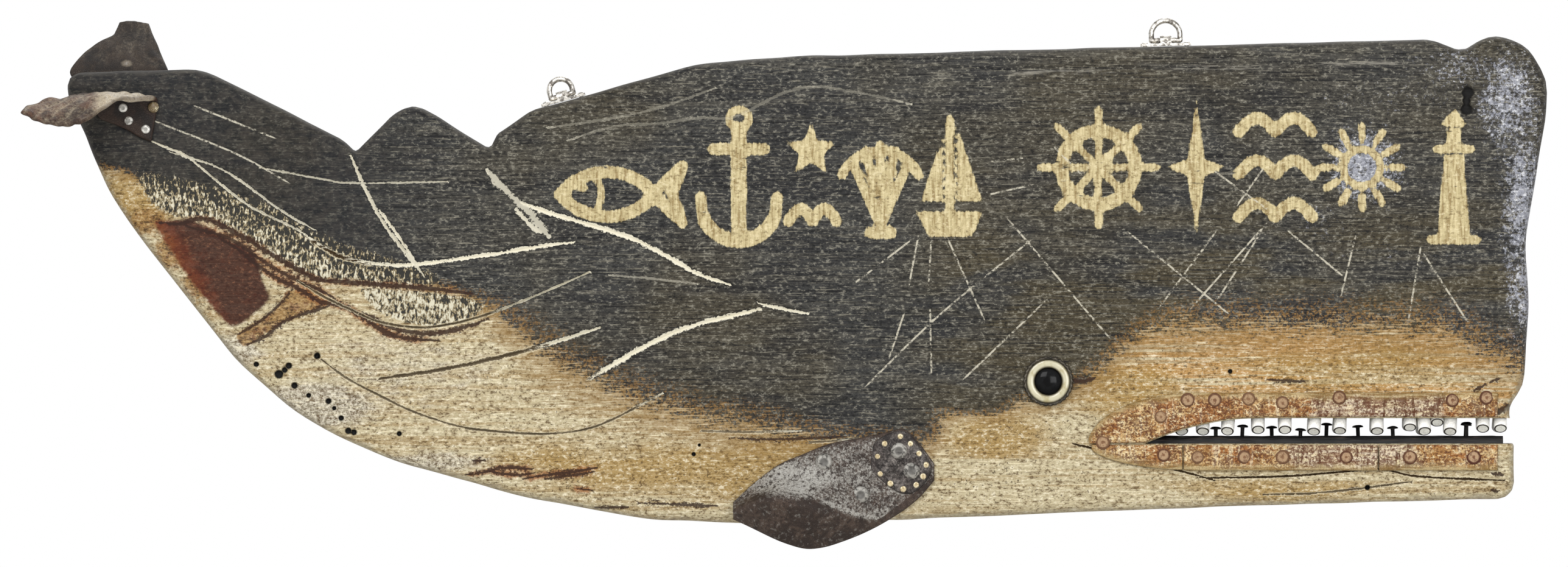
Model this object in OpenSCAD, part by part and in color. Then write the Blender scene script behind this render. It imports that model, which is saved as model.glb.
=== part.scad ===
// Hanging shop sign: a whale sawn from one plank, with leather fins, flukes and lips.
// The sign is laid out as a maker marks the plank: x from the tail end, z up from the keel.
// Finished pieces sit with the origin where the front hook bears, +X to the head, +Z up.

/* [Board] */
// Length of the plank from the tail end to the brow
board_length = 1048; // [900:2:1200]
// Height of the plank from the keel to the brow
board_height = 347; // [300:1:400]
// Thickness of the plank
board_thick = 45; // [38:1:60]
// Radius that rounds the outer edges over
edge_round = 8; // [3:0.5:9]

/* [Mouth] */
// Distance of the mouth corner from the tail end
mouth_x = 763; // [740:1:790]
// Height of the lower jaw's upper surface over the keel
mouth_z = 57; // [50:1:64]
// Height of the sawn mouth opening
mouth_gap = 18; // [14:0.5:24]
// Length over which the mouth opens from its corner
mouth_taper = 82; // [60:1:110]
// Height of the strip along the lower jaw, which the nails are driven through
jaw_strip = 5.5; // [3:0.5:6]
// Width of that strip along its top
jaw_strip_width = 30; // [29:1:36]

/* [Lips] */
// Thickness of the lip leather
lip_thick = 2.5; // [1.5:0.1:4]
// Height of the upper lip leather above the mouth
upper_lip_width = 18; // [12:0.5:24]
// Height of the lower lip leather below the mouth
lower_lip_width = 19; // [14:0.5:24]
// Distance that the lips reach behind the mouth corner
lip_back = 40; // [30:1:60]
// Radius of a lip tack's head
lip_tack_r = 4.6; // [3:0.1:6]
// Length of a lip tack below its head
lip_tack_length = 12; // [8:0.5:18]

/* [Teeth] */
// Radius of a wooden upper tooth
tooth_r = 4.2; // [3:0.1:5]
// Angle at which the upper teeth lean out of the mouth to either side
tooth_lean = 30; // [0:1:36]
// Clear gap below the longest upper tooth
tooth_gap = 0.8; // [0.4:0.1:4]
// Radius of the head of a lower tooth nail
tooth_nail_head_r = 4; // [2.5:0.1:5]
// Clear gap over the tallest lower tooth nail's shank
tooth_nail_gap = 3.5; // [2:0.5:5]

/* [Eyes] */
// Width of the crimped tin rim around an eye
eye_rim_width = 2.2; // [1.5:0.1:5]
// Outer radius of the white ring of an eye
eye_white_r = 15.4; // [12:0.1:16]
// Radius of the black glass of an eye
eye_glass_r = 9.6; // [6:0.1:11]
// Depth of the pocket that an eye is set in
eye_pocket = 4; // [2:0.5:8]
// Distance that the rim stands out of the face
eye_rim_proud = 3; // [1.5:0.1:5]
// Distance that the white ring's crown stands out of the face
eye_white_proud = 1.8; // [1:0.1:2.8]
// Distance that the black glass stands out of the face
eye_glass_proud = 4.2; // [2:0.1:6]

/* [Fins] */
// Thickness of the fin leather
fin_thick = 3; // [2:0.1:5]
// Distance that a fin's fold stands out from the face
fin_out = 30; // [15:1:45]
// Radius of a large fin tack's head
fin_tack_r = 6; // [4:0.1:7]
// Length of a large fin tack below its head
fin_tack_length = 18; // [14:0.5:22]
// Radius of a small brass pin's head along the fin root
fin_pin_r = 2.2; // [1.5:0.1:3]
// Length of a small brass pin below its head
fin_pin_length = 12; // [8:0.5:16]
// Thickness of the leather patch over the fin root
patch_thick = 2.2; // [1.5:0.1:4]

/* [Flukes] */
// Thickness of the fluke leather
fluke_thick = 3.5; // [2:0.1:5]
// Distance that the right fluke stands out from the face
right_fluke_out = 62; // [40:1:80]
// Distance that the left fluke leans out at its tip
left_fluke_out = 34; // [15:1:50]
// Radius of a fluke tack's head
fluke_tack_r = 3.2; // [2:0.1:5]
// Length of a fluke tack or of the bone peg below its head
fluke_tack_length = 14; // [10:0.5:18]
// Radius of the bone peg's head at the right fluke
peg_r = 4; // [3:0.1:6]

/* [Hangers] */
// Distance of the front hanger from the tail end
front_hanger_x = 778; // [700:1:850]
// Distance of the rear hanger from the tail end
rear_hanger_x = 352; // [345:1:358]
// Length of the front hanger plate
front_plate_length = 36; // [35.5:0.5:44]
// Length of the rear hanger plate
rear_plate_length = 32; // [31:0.5:40]
// Width of a hanger plate across the plank
plate_width = 16; // [15:0.5:24]
// Thickness of a hanger plate
plate_thick = 1.8; // [1.2:0.1:3]
// Outer width of the front ring
front_ring_width = 24; // [22:0.5:24]
// Height of the front ring over its plate
front_ring_height = 18; // [17:0.5:30]
// Outer width of the rear ring
rear_ring_width = 20; // [18:0.5:20]
// Height of the rear ring over its plate
rear_ring_height = 16; // [15:0.5:26]
// Diameter of the ring wire
ring_wire = 3.8; // [3:0.1:4]
// Length of the clip that holds a ring's bar
clip_length = 8; // [5:0.5:9]
// Wall of the clip
clip_wall = 1.4; // [1:0.1:1.8]
// Radius of a hanger screw's head
screw_head_r = 2.4; // [2:0.1:2.5]
// Radius of a hanger screw's shank
screw_r = 1.6; // [1.2:0.1:1.8]
// Length of a hanger screw
screw_length = 22; // [14:1:30]

/* [Fits] */
// Gap between the ring's bar and its clip, all round
bar_gap = 0.1; // [0.05:0.01:0.15]
// Gap between a screw's shank and its hole in the plate
screw_gap = 0.15; // [0.1:0.05:0.3]

/* [Hidden] */
$fn = 48;

// Half the plank, which is where its two faces lie
face = board_thick / 2;
// Steps that the rounded edge takes, and the spacing of points along an outline arc
round_steps = 3;
arc_step = 9;
// Width over which the rim laps the core
rim_lap = 1.2;

// Outline of the plank without its mouth: x, z and the radius of each corner
outline = [
    [0, 319, 12], [96, 322, 40], [196, 272, 18], [205, 263, 1.5], [231, 290, 18], [246, 298, 18],
    [262, 289, 26], [300, 265, 2], [305, 276, 5], [330, 293, 20], [374, 305, 20], [448, 326, 108],
    [513, 331, 215], [965, 343, 18], [987, 334, 8], [1008, 347, 22], [1033, 339, 26],
    [1048, 314, 30], [1047, 289, 65], [1032, 200, 130], [1035, 155, 108], [1031, 98, 26],
    [1020, 82, 13], [1024, 57, 12], [1024, 18, 12], [814, 12, 170], [590, 3, 130], [487, 0, 260],
    [410, 3, 260], [324, 19, 340], [229, 45, 215], [169, 73, 170], [122, 114, 130],
    [51, 204, 170], [28, 239, 86], [14, 275, 40], [2, 299, 26]];
// Length and height of the layout, which the real plank stretches or shortens
layout_length = max([for (p = outline) p[0]]);
layout_height = max([for (p = outline) p[1]]);

// Shanks of the tacks and pins, and the rise of their heads as a share of the head's radius
shank_r = 1;
pin_shank_r = 0.7;
head_dome = 0.37;
pin_dome = 0.5;
peg_dome = 0.9;

// Bevel of the jaw strip's long edges, its reach past the lips, and the mouth cut's past the brow
strip_bevel = 2;
strip_past_lip = 4;
past_brow = 20;

// Eye centre, and the front end of the lips, which stops short of the rounded brow
eye_at = [694.5, 101];
lip_front = 1012;
// Joints between the three lengths of the lower lip
lip_joints = [790, 928];
// Clear gap between two lengths of lip leather
lip_joint_gap = 0.6;
// Lip tacks: x along the plank and the share of the lip's width that they sit at
upper_tacks = [[733, 0.05], [774, 0.5], [793, 0.8], [812, 0.75], [836, 0.75], [860, 0.6],
    [900, 0.8], [980, 0.7], [1004, 0.8]];
lower_tacks = [[776, 0.45], [800, 0.5], [833, 0.5], [860, 0.5], [905, 0.5], [950, 0.5], [995, 0.5]];

// Upper teeth, alike in the two rows: x and share of the full length
teeth = [[789, 1], [804, 1], [822, 1], [843, 0.9], [862, 0.9], [883, 1], [901, 0.92], [927, 0.95],
    [950, 0.7], [960, 1], [969.5, 0.35], [979, 1], [1002, 0.8], [1014, 0.8]];
// Lower tooth nails, between the teeth: x, share of the full height, and side
tooth_nails = [[813, 0.9, -1], [832, 0.85, -1], [853, 0.75, 1], [873, 0.65, -1], [892, 0.9, 1],
    [914, 0.8, 1], [938, 0.75, -1], [990, 0.9, -1], [991, 0.95, 1]];
// Distances of the teeth and of the nails from the plank's middle, and their depth in the wood
tooth_row = 13;
tooth_nail_row = 12.5;
tooth_root = 7;
tooth_nail_r = 1.4;
// Bevel round the cut end of a tooth, and the least length that shows
tooth_bevel = 0.7;
tooth_least = 1;

// Fin blade: columns of x, top z, fold z, bottom z, and the share of fin_out at the fold
fin_columns = [
    [472, 15, 9, 4, 0.25], [487, 29, 15, -3, 0.7], [505, 43, 18, -12, 1], [523, 50, 14, -18, 1],
    [538, 57, 9, -16, 0.85], [560, 61, 5, -8, 0.4], [577, 64, 8, 0, 0.05], [593, 69, 22, 10, 0],
    [604, 57, 30, 19, 0], [614, 43, 37, 31, 0]];
// Share of the fold's distance that the lower edge of the fin keeps
fin_tuck = 0.45;
// Share of the fold's distance that the blade has left the face halfway down to the fold
fin_lift = 0.3;
// Corner points of the patch over the fin root
patch = [[568, 40], [572, 58], [592, 66], [606, 52], [612, 38], [602, 24], [590, 22], [576, 31]];
patch_corner = 5;
// Large tacks of a fin: x, z, and 1 where the patch lies under the head
fin_tacks = [[536, 44, 0], [589, 52, 1], [562, 21, 0], [598, 38, 1]];
// Small pins round the patch
fin_pins = [[590, 62], [597, 57], [603, 50], [608, 42], [606, 34], [601, 28], [592, 25], [583, 29],
    [576, 36], [574, 48], [579, 57]];

// Right fluke: rows from its free edge to the flange on the face, each with five columns of
// x and z, and a share of right_fluke_out
right_fluke_rows = [
    [[[-29, 291], [-21, 285], [-10, 282], [2, 281], [13, 283]], 1],
    [[[-26, 295], [-14, 292], [-2, 291], [12, 290], [23, 290]], 0.82],
    [[[-12, 298], [0, 299], [14, 301], [28, 302], [40, 300]], 0.5],
    [[[6, 301], [20, 303.5], [34, 303.5], [48, 303.5], [62, 302]], 0.14],
    [[[16, 299], [28, 300], [40, 300], [52, 300], [66, 299.5]], 0],
    [[[25, 286], [36, 282], [45, 278], [53, 273], [61, 270]], 0]];
// Left fluke: rows from its tip down to the flange on the hidden face
left_fluke_rows = [
    [[[36, 355], [41, 356], [47, 356], [52, 355], [57, 354]], 1],
    [[[32, 346], [40, 347], [47, 347], [54, 347], [60, 346]], 0.8],
    [[[12, 334], [26, 336], [40, 336], [54, 335], [66, 333]], 0.45],
    [[[1, 320], [20, 321], [38, 321], [56, 321], [72, 320]], 0.1],
    [[[10, 303], [24, 302], [38, 302], [52, 303], [64, 304]], 0]];
fluke_tacks_right = [[41, 294], [45, 285], [57, 279]];
fluke_tacks_left = [[20, 309], [38, 308], [56, 309]];
peg_at = [62.5, 294.5];

// Layout point to the real plank, when its length or height is changed
function lx(x) = x * board_length / layout_length;
function lz(z) = z * board_height / layout_height;

function unit(v) = v / norm(v);
function turn_of(a, b) = let(d = b - a) d > 180 ? d - 360 : d < -180 ? d + 360 : d;
// Points of corner i of a closed list, along the arc that rounds it
function corner(p, i) =
    let(n = len(p), b = [p[i][0], p[i][1]],
        a = [p[(i + n - 1) % n][0], p[(i + n - 1) % n][1]],
        c = [p[(i + 1) % n][0], p[(i + 1) % n][1]],
        u = unit(a - b), v = unit(c - b), half = acos(u * v) / 2,
        cut = min(p[i][2] / tan(half), 0.48 * norm(a - b), 0.48 * norm(c - b)),
        r = cut * tan(half), mid = b + unit(u + v) * r / sin(half),
        s = b + u * cut - mid, e = b + v * cut - mid,
        from = atan2(s[1], s[0]), turn = turn_of(from, atan2(e[1], e[0])),
        steps = max(1, ceil(abs(turn) / 180 * PI * r / arc_step)))
    [for (k = [0:steps]) mid + r * [cos(from + turn * k / steps), sin(from + turn * k / steps)]];
function rounded(p) = [for (i = [0:len(p) - 1]) each corner(p, i)];
// The same closed line moved inwards by d along the two sides' normals
function inset(p, d) =
    let(n = len(p))
    [for (i = [0:n - 1])
        let(u = unit(p[i] - p[(i + n - 1) % n]), v = unit(p[(i + 1) % n] - p[i]),
            a = [u[1], -u[0]], b = [v[1], -v[0]])
        p[i] + d * (a + b) / (1 + a * b)];

plank = rounded([for (p = outline) [lx(p[0]), lz(p[1]), p[2]]]);
// Stretches of the plank's outline that run towards the head over a place x
function stretches(x) =
    [for (i = [0:len(plank) - 1]) let(a = plank[i], b = plank[(i + 1) % len(plank)])
        if (a[0] <= x && b[0] > x) [a, b]];
// Slope of the top edge at x, in degrees, and its height there
function slope_at(x) = let(s = stretches(x)[0], d = s[1] - s[0]) atan2(d[1], d[0]);
function top_at(x) = let(s = stretches(x)[0], d = s[1] - s[0]) s[0][1] + d[1] * (x - s[0][0]) / d[0];

// Upper edge of the mouth at x
function open_share(x) = let(t = min(1, (x - mouth_x) / mouth_taper)) 1 - pow(1 - t, 2);
function gum_z(x) = mouth_z + mouth_gap * open_share(x);

// Ring: its bar lies this high over the plate, and its hook point is inside the arch
bar_z = ring_wire / 2 + 2 * bar_gap;
hook_rise_front = plate_thick + front_ring_height - ring_wire;
front_x = lx(front_hanger_x);
rear_x = lx(rear_hanger_x);
front_slope = slope_at(front_x);
rear_slope = slope_at(rear_x);
hook_x = front_x - sin(front_slope) * hook_rise_front;
hook_z = top_at(front_x) + cos(front_slope) * hook_rise_front;

// Colours as they are seen on the sign
black_paint = [0.16, 0.16, 0.17];
lip_tan = [0.62, 0.42, 0.24];
brown_leather = [0.3, 0.22, 0.17];
dark_leather = [0.2, 0.17, 0.16];
tin = [0.7, 0.69, 0.66];
copper = [0.5, 0.27, 0.18];
brass = [0.72, 0.58, 0.3];
bone = [0.86, 0.83, 0.74];
iron = [0.12, 0.12, 0.12];

// From plank layout to the finished frame
module laid() translate([-hook_x, 0, -hook_z]) children();
// Layout of one face: the right face is as drawn, the left face is its mirror image
module on_right() laid() children();
module on_left() laid() mirror([0, 1, 0]) children();
// Stands a piece turned about +Z on the right face, at a layout place, pointing out of it
module out_of_face(p, out = 0)
    translate([lx(p[0]), -face - out, lz(p[1])]) rotate([90, 0, 0]) children();
// A flat outline in x and z, lying on the right face
module flat_on_face(points, thick, out = 0)
    translate([0, -face - out, 0]) rotate([90, 0, 0]) linear_extrude(thick) polygon(points);

// Domed tack or pin: a cap of a ball over a thin shank
module tack(head_r, rise, shank_r, shank) {
    ball = (head_r * head_r + rise * rise) / (2 * rise);
    intersection() {
        translate([0, 0, rise - ball]) sphere(r = ball);
        cylinder(r = head_r, h = rise + 1);
    }
    translate([0, 0, -shank]) cylinder(r = shank_r, h = shank + rise / 2);
}

// Direction across a grid of points at row r and column c, from its neighbours
function across(g, r, c) =
    let(down = g[min(r + 1, len(g) - 1)][c] - g[max(r - 1, 0)][c],
        along = g[r][min(c + 1, len(g[0]) - 1)] - g[r][max(c - 1, 0)])
    unit(cross(along, down));

// A bent sheet of leather: half its thickness on either side of a grid of points
module sheet(rows, thick) {
    m = len(rows);
    n = len(rows[0]);
    half = [for (r = [0:m - 1]) [for (c = [0:n - 1]) across(rows, r, c) * thick / 2]];
    front = [for (r = [0:m - 1]) each [for (c = [0:n - 1]) rows[r][c] - half[r][c]]];
    back = [for (r = [0:m - 1]) each [for (c = [0:n - 1]) rows[r][c] + half[r][c]]];
    b = m * n;
    quads = [for (r = [0:m - 2]) for (c = [0:n - 2]) let(k = r * n + c) each
        [[k, k + 1, k + n + 1, k + n], [b + k, b + k + n, b + k + n + 1, b + k + 1]]];
    ends = [for (r = [0:m - 2]) let(k = r * n, e = k + n - 1) each
        [[k, k + n, b + k + n, b + k], [e + n, e, b + e, b + e + n]]];
    sides = [for (c = [0:n - 2]) let(e = (m - 1) * n + c) each
        [[c + 1, c, b + c, b + c + 1], [e, e + 1, b + e + 1, b + e]]];
    faces = [for (q = concat(quads, ends, sides)) each [[q[0], q[1], q[2]], [q[0], q[2], q[3]]]];
    polyhedron(concat(front, back), faces, convexity = 6);
}

// The plank: a core as thick as the plank, and a rim round it with the edges rounded over.
// The rim is one closed band of rings that run round the outline, from inside to inside.
module plank_solid() {
    n = len(plank);
    inner = edge_round + rim_lap;
    turns = [for (k = [0:round_steps]) 90 * k / round_steps];
    arc = [for (t = turns) [edge_round * (1 - sin(t)), -face + edge_round * (1 - cos(t))]];
    front = concat([[inner, -face]], arc);
    m = 2 * len(front);
    rings = concat(front, [for (k = [len(front) - 1:-1:0]) [front[k][0], -front[k][1]]]);
    points = [for (g = rings) each [for (p = inset(plank, g[0])) [p[0], g[1], p[1]]]];
    faces = [for (g = [0:m - 1]) for (i = [0:n - 1])
        let(j = (i + 1) % n, h = (g + 1) % m, a = g * n + i, b = g * n + j, c = h * n + i, d = h * n + j)
            each [[a, c, d], [a, d, b]]];
    polyhedron(points, faces, convexity = 10);
    rotate([90, 0, 0]) linear_extrude(board_thick, center = true)
        polygon(inset(plank, inner - rim_lap / 2));
}

// The opening sawn right through the plank, from the mouth corner out past the brow
module mouth_slot() {
    past = layout_length + past_brow;
    step = mouth_taper / 8;
    curve = [for (k = [1:8]) [mouth_x + k * step, gum_z(mouth_x + k * step)]];
    line = concat([[mouth_x, mouth_z]], curve, [[past, mouth_z + mouth_gap]], [[past, mouth_z]]);
    translate([0, face + 1, 0]) rotate([90, 0, 0]) linear_extrude(board_thick + 2)
        polygon([for (p = line) [lx(p[0]), lz(p[1])]]);
}
// The strip nailed along the lower jaw, with its two long edges bevelled, inside the opening
module jaw_strip() color(black_paint) laid() intersection() {
    half = jaw_strip_width / 2;
    foot = half + strip_bevel;
    mouth_slot();
    translate([lx(mouth_x), 0, lz(mouth_z)]) rotate([90, 0, 90])
        linear_extrude(lx(lip_front) + strip_past_lip - lx(mouth_x))
            polygon([[-foot, 0], [foot, 0], [half, jaw_strip], [-half, jaw_strip]]);
}

module whale_body() color(black_paint) laid() difference() {
    plank_solid();
    mouth_slot();
    out_of_face(eye_at, -eye_pocket) cylinder(r = eye_white_r, h = eye_pocket + 1);
    mirror([0, 1, 0]) out_of_face(eye_at, -eye_pocket) cylinder(r = eye_white_r, h = eye_pocket + 1);
}

// Pegs driven up into the jaw, cut off square and leaning out to both sides
module upper_teeth() color(bone) laid() for (t = teeth) {
    room = gum_z(t[0]) - mouth_z - jaw_strip - tooth_gap - tooth_r * sin(tooth_lean);
    long = max(tooth_least, room * t[1] / cos(tooth_lean));
    for (side = [-1, 1])
        translate([lx(t[0]), side * tooth_row, lz(gum_z(t[0]))]) rotate([180 + side * tooth_lean, 0, 0]) {
            translate([0, 0, -tooth_root]) cylinder(r = tooth_r, h = long + tooth_root - tooth_bevel);
            translate([0, 0, long - tooth_bevel])
                cylinder(r1 = tooth_r, r2 = tooth_r - tooth_bevel, h = tooth_bevel);
        }
}

module lower_tooth_nails() color(iron) laid() for (t = tooth_nails) {
    high = (gum_z(t[0]) - mouth_z - tooth_nail_gap) * t[1];
    translate([lx(t[0]), t[2] * tooth_nail_row, lz(mouth_z) + high])
        tack(tooth_nail_head_r, tooth_nail_head_r * head_dome, tooth_nail_r, high + tooth_root);
}

// Eye parts turned about the axis that points out of the face
eye_rim_r = eye_white_r + eye_rim_width;
module eye_rim() color(tin) out_of_face(eye_at) rotate_extrude() polygon([
    [eye_white_r, 0], [eye_rim_r, 0], [eye_rim_r, eye_rim_proud * 0.5],
    [(eye_rim_r + eye_white_r) / 2, eye_rim_proud], [eye_white_r, eye_rim_proud * 0.7]]);
module eye_white() color(bone) out_of_face(eye_at, -eye_pocket) rotate_extrude() polygon([
    [eye_glass_r, 0], [eye_white_r, 0], [eye_white_r, eye_pocket + eye_white_proud * 0.55],
    [(eye_white_r + eye_glass_r) / 2, eye_pocket + eye_white_proud],
    [eye_glass_r, eye_pocket + eye_white_proud * 0.3]]);
module eye_glass() color("black") out_of_face(eye_at, -eye_pocket) {
    cylinder(r = eye_glass_r, h = eye_pocket);
    translate([0, 0, eye_pocket]) tack(eye_glass_r, eye_glass_proud, shank_r, shank_r);
}
module right_eye_rim() on_right() eye_rim();
module right_eye_white() on_right() eye_white();
module right_eye_glass() on_right() eye_glass();
module left_eye_rim() on_left() eye_rim();
module left_eye_white() on_left() eye_white();
module left_eye_glass() on_left() eye_glass();

// Outer edges of the lips: they close in a round end behind the mouth corner
lip_start = mouth_x - lip_back;
function lip_swell(x) = let(t = min(1, (x - lip_start) / (lip_back * 2))) sqrt(1 - pow(1 - t, 2));
function upper_edge(x) = mouth_z + (mouth_gap + upper_lip_width) * lip_swell(x);
function lower_edge(x) = mouth_z - lower_lip_width * lip_swell(x);
lip_line = [for (k = [0:10]) lip_start + lip_back * 2 * k / 10];
gum_line = [for (k = [8:-1:0]) mouth_x + mouth_taper * k / 8];
// Gap kept between the leather and the sawn edge of the mouth
lip_set_back = 0.8;

module upper_lip() color(lip_tan) flat_on_face([for (p = concat(
    [for (x = lip_line) [x, upper_edge(x)]], [[lip_front, upper_edge(lip_front)]],
    [[lip_front, gum_z(lip_front) + lip_set_back]],
    [for (x = gum_line) [x, gum_z(x) + lip_set_back]])) [lx(p[0]), lz(p[1])]], lip_thick);

// One length of the lower lip, cut out of the whole shape between two places along the jaw
module lower_lip(from, to) {
    inside = [for (x = lip_line) if (x > from && x < to) x];
    places = concat([from], inside, [to]);
    color(lip_tan) flat_on_face([for (p = concat(
        [[from, mouth_z - lip_set_back]], [[to, mouth_z - lip_set_back]],
        [for (k = [len(places) - 1:-1:0]) [places[k], lower_edge(places[k]) - 0.01]]))
        [lx(p[0]), lz(p[1])]], lip_thick);
}
module lip_tacks() color(copper) {
    for (t = upper_tacks) {
        low = gum_z(max(t[0], mouth_x));
        at = [t[0], low + (upper_edge(t[0]) - low) * t[1]];
        out_of_face(at, lip_thick) tack(lip_tack_r, lip_tack_r * head_dome, shank_r, lip_tack_length);
    }
    for (t = lower_tacks) {
        at = [t[0], mouth_z + (lower_edge(t[0]) - mouth_z) * t[1]];
        out_of_face(at, lip_thick) tack(lip_tack_r, lip_tack_r * head_dome, shank_r, lip_tack_length);
    }
}
lip_cuts = [lip_start + 2, lip_joints[0], lip_joints[1], lip_front];
module lower_lip_part(k) lower_lip(lip_cuts[k], lip_cuts[k + 1] - (k < 2 ? lip_joint_gap : 0));
module right_upper_lip() on_right() upper_lip();
module right_lower_lip_rear() on_right() lower_lip_part(0);
module right_lower_lip_middle() on_right() lower_lip_part(1);
module right_lower_lip_front() on_right() lower_lip_part(2);
module right_lip_tacks() on_right() lip_tacks();
module left_upper_lip() on_left() upper_lip();
module left_lower_lip_rear() on_left() lower_lip_part(0);
module left_lower_lip_middle() on_left() lower_lip_part(1);
module left_lower_lip_front() on_left() lower_lip_part(2);
module left_lip_tacks() on_left() lip_tacks();

// Fin blade: rows run along the root, the slope, the fold and the hanging edge
module fin() {
    mid = -face - fin_thick / 2;
    rows = [
        [for (c = fin_columns) [lx(c[0]), mid, lz(c[1])]],
        [for (c = fin_columns) [lx(c[0]), mid - fin_out * c[4] * fin_lift, lz((c[1] + c[2]) / 2)]],
        [for (c = fin_columns) [lx(c[0]), mid - fin_out * c[4], lz(c[2])]],
        [for (c = fin_columns) [lx(c[0]), mid - fin_out * c[4] * fin_tuck, lz(c[3])]]];
    color(brown_leather) sheet(rows, fin_thick);
}
module fin_patch() {
    line = rounded([for (p = patch) [lx(p[0]), lz(p[1]), patch_corner]]);
    color(dark_leather) flat_on_face(line, patch_thick, fin_thick);
}
// Distance of the blade's outer side from the face at a layout place on its upper slope
function fin_skin(x, z) =
    let(k = [for (i = [0:len(fin_columns) - 2]) if (fin_columns[i + 1][0] > x) i][0],
        t = (x - fin_columns[k][0]) / (fin_columns[k + 1][0] - fin_columns[k][0]),
        c = fin_columns[k] * (1 - t) + fin_columns[k + 1] * t,
        half_z = (c[1] + c[2]) / 2, half_out = fin_out * c[4] * fin_lift)
    fin_thick + (z > half_z ? half_out * max(0, c[1] - z) / (c[1] - half_z)
        : half_out + (fin_out * c[4] - half_out) * (half_z - z) / (half_z - c[2]));
module fin_tack_set() color(iron) for (p = fin_tacks)
    out_of_face(p, p[2] == 1 ? fin_thick + patch_thick : fin_skin(p[0], p[1]))
        tack(fin_tack_r, fin_tack_r * head_dome, shank_r, fin_tack_length);
module fin_pin_set() color(brass) for (p = fin_pins)
    out_of_face(p, fin_thick + patch_thick)
        tack(fin_pin_r, fin_pin_r * pin_dome, pin_shank_r, fin_pin_length);
module right_fin() on_right() fin();
module right_fin_patch() on_right() fin_patch();
module right_fin_tacks() on_right() fin_tack_set();
module right_fin_pins() on_right() fin_pin_set();
module left_fin() on_left() fin();
module left_fin_patch() on_left() fin_patch();
module left_fin_tacks() on_left() fin_tack_set();
module left_fin_pins() on_left() fin_pin_set();

// Fluke rows to points: the flange lies on the face and the rest stands out by its share
function fluke_points(rows, out) =
    [for (r = rows) [for (p = r[0]) [lx(p[0]), -face - fluke_thick / 2 - out * r[1], lz(p[1])]]];
module right_fluke() color(brown_leather) on_right()
    sheet(fluke_points(right_fluke_rows, right_fluke_out), fluke_thick);
module left_fluke() color(dark_leather) on_left()
    sheet(fluke_points(left_fluke_rows, left_fluke_out), fluke_thick);
module fluke_tacks() color(iron) {
    on_right() for (p = fluke_tacks_right)
        out_of_face(p, fluke_thick) tack(fluke_tack_r, fluke_tack_r * pin_dome, shank_r, fluke_tack_length);
    on_left() for (p = fluke_tacks_left)
        out_of_face(p, fluke_thick) tack(fluke_tack_r, fluke_tack_r * pin_dome, shank_r, fluke_tack_length);
}
module fluke_peg() color(bone) on_right() out_of_face(peg_at, fluke_thick)
    tack(peg_r, peg_r * peg_dome, shank_r, fluke_tack_length);

// Hanger pieces about a seat: the plate's underside at z 0, the ring's bar along x
module hanger_plate(long, hole_x) color(tin) difference() {
    translate([-long / 2, -plate_width / 2, 0]) cube([long, plate_width, plate_thick]);
    for (s = [-1, 1]) translate([s * hole_x, 0, -1]) cylinder(r = screw_r + screw_gap, h = plate_thick + 2);
}
// A strip bent over the ring's bar, with a foot on either side
module hanger_clip() {
    inner = ring_wire / 2 + bar_gap;
    outer = inner + clip_wall;
    foot = (plate_width - 2 * outer) / 2 - clip_inset;
    color(tin) translate([-clip_length / 2, 0, plate_thick]) difference() {
        union() {
            translate([0, 0, bar_z]) rotate([0, 90, 0]) cylinder(r = outer, h = clip_length);
            translate([0, -outer, 0]) cube([clip_length, 2 * outer, bar_z]);
            translate([0, -outer - foot, 0]) cube([clip_length, 2 * (outer + foot), clip_wall]);
        }
        translate([-1, 0, bar_z]) rotate([0, 90, 0]) cylinder(r = inner, h = clip_length + 2);
        translate([-1, -inner, -1]) cube([clip_length + 2, 2 * inner, bar_z + 1]);
        translate([-1, -outer - foot - 1, -2 * outer])
            cube([clip_length + 2, 2 * (outer + foot + 1), 2 * outer]);
    }
}
// A bent ring: a straight bar, two short legs and a half-round arch over them
module hanger_ring(wide, high) {
    wire = ring_wire / 2;
    arch = wide / 2 - wire;
    arch_z = high - wide / 2;
    color(tin) translate([0, 0, plate_thick]) {
        translate([-arch, 0, bar_z]) rotate([0, 90, 0]) cylinder(r = wire, h = 2 * arch);
        for (s = [-1, 1]) translate([s * arch, 0, bar_z]) {
            sphere(r = wire);
            cylinder(r = wire, h = arch_z - bar_z);
        }
        translate([0, 0, arch_z]) rotate([90, 0, 0]) rotate_extrude(angle = 180)
            translate([arch, 0]) circle(r = wire);
    }
}
module hanger_screws(hole_x) color(tin) for (s = [-1, 1])
    translate([s * hole_x, 0, plate_thick])
        tack(screw_head_r, screw_head_r * pin_dome, screw_r, screw_length);

// Seats of the two hangers on the plank's top edge, tilted as the edge is there
module at_front() laid() translate([front_x, 0, top_at(front_x)]) rotate([0, -front_slope, 0]) children();
module at_rear() laid() translate([rear_x, 0, top_at(rear_x)]) rotate([0, -rear_slope, 0]) children();
// Distance of the clip's feet from the plate's long edges
clip_inset = 0.5;
// Screws stand just outside the ring, so it can lie down between them
screw_clear = 0.4;
front_screw_x = front_ring_width / 2 + screw_clear + screw_head_r;
rear_screw_x = rear_ring_width / 2 + screw_clear + screw_head_r;
module front_hanger_plate() at_front() hanger_plate(front_plate_length, front_screw_x);
module front_hanger_clip() at_front() hanger_clip();
module front_hanger_ring() at_front() hanger_ring(front_ring_width, front_ring_height);
module front_hanger_screws() at_front() hanger_screws(front_screw_x);
module rear_hanger_plate() at_rear() hanger_plate(rear_plate_length, rear_screw_x);
module rear_hanger_clip() at_rear() hanger_clip();
module rear_hanger_ring() at_rear() hanger_ring(rear_ring_width, rear_ring_height);
module rear_hanger_screws() at_rear() hanger_screws(rear_screw_x);

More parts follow.
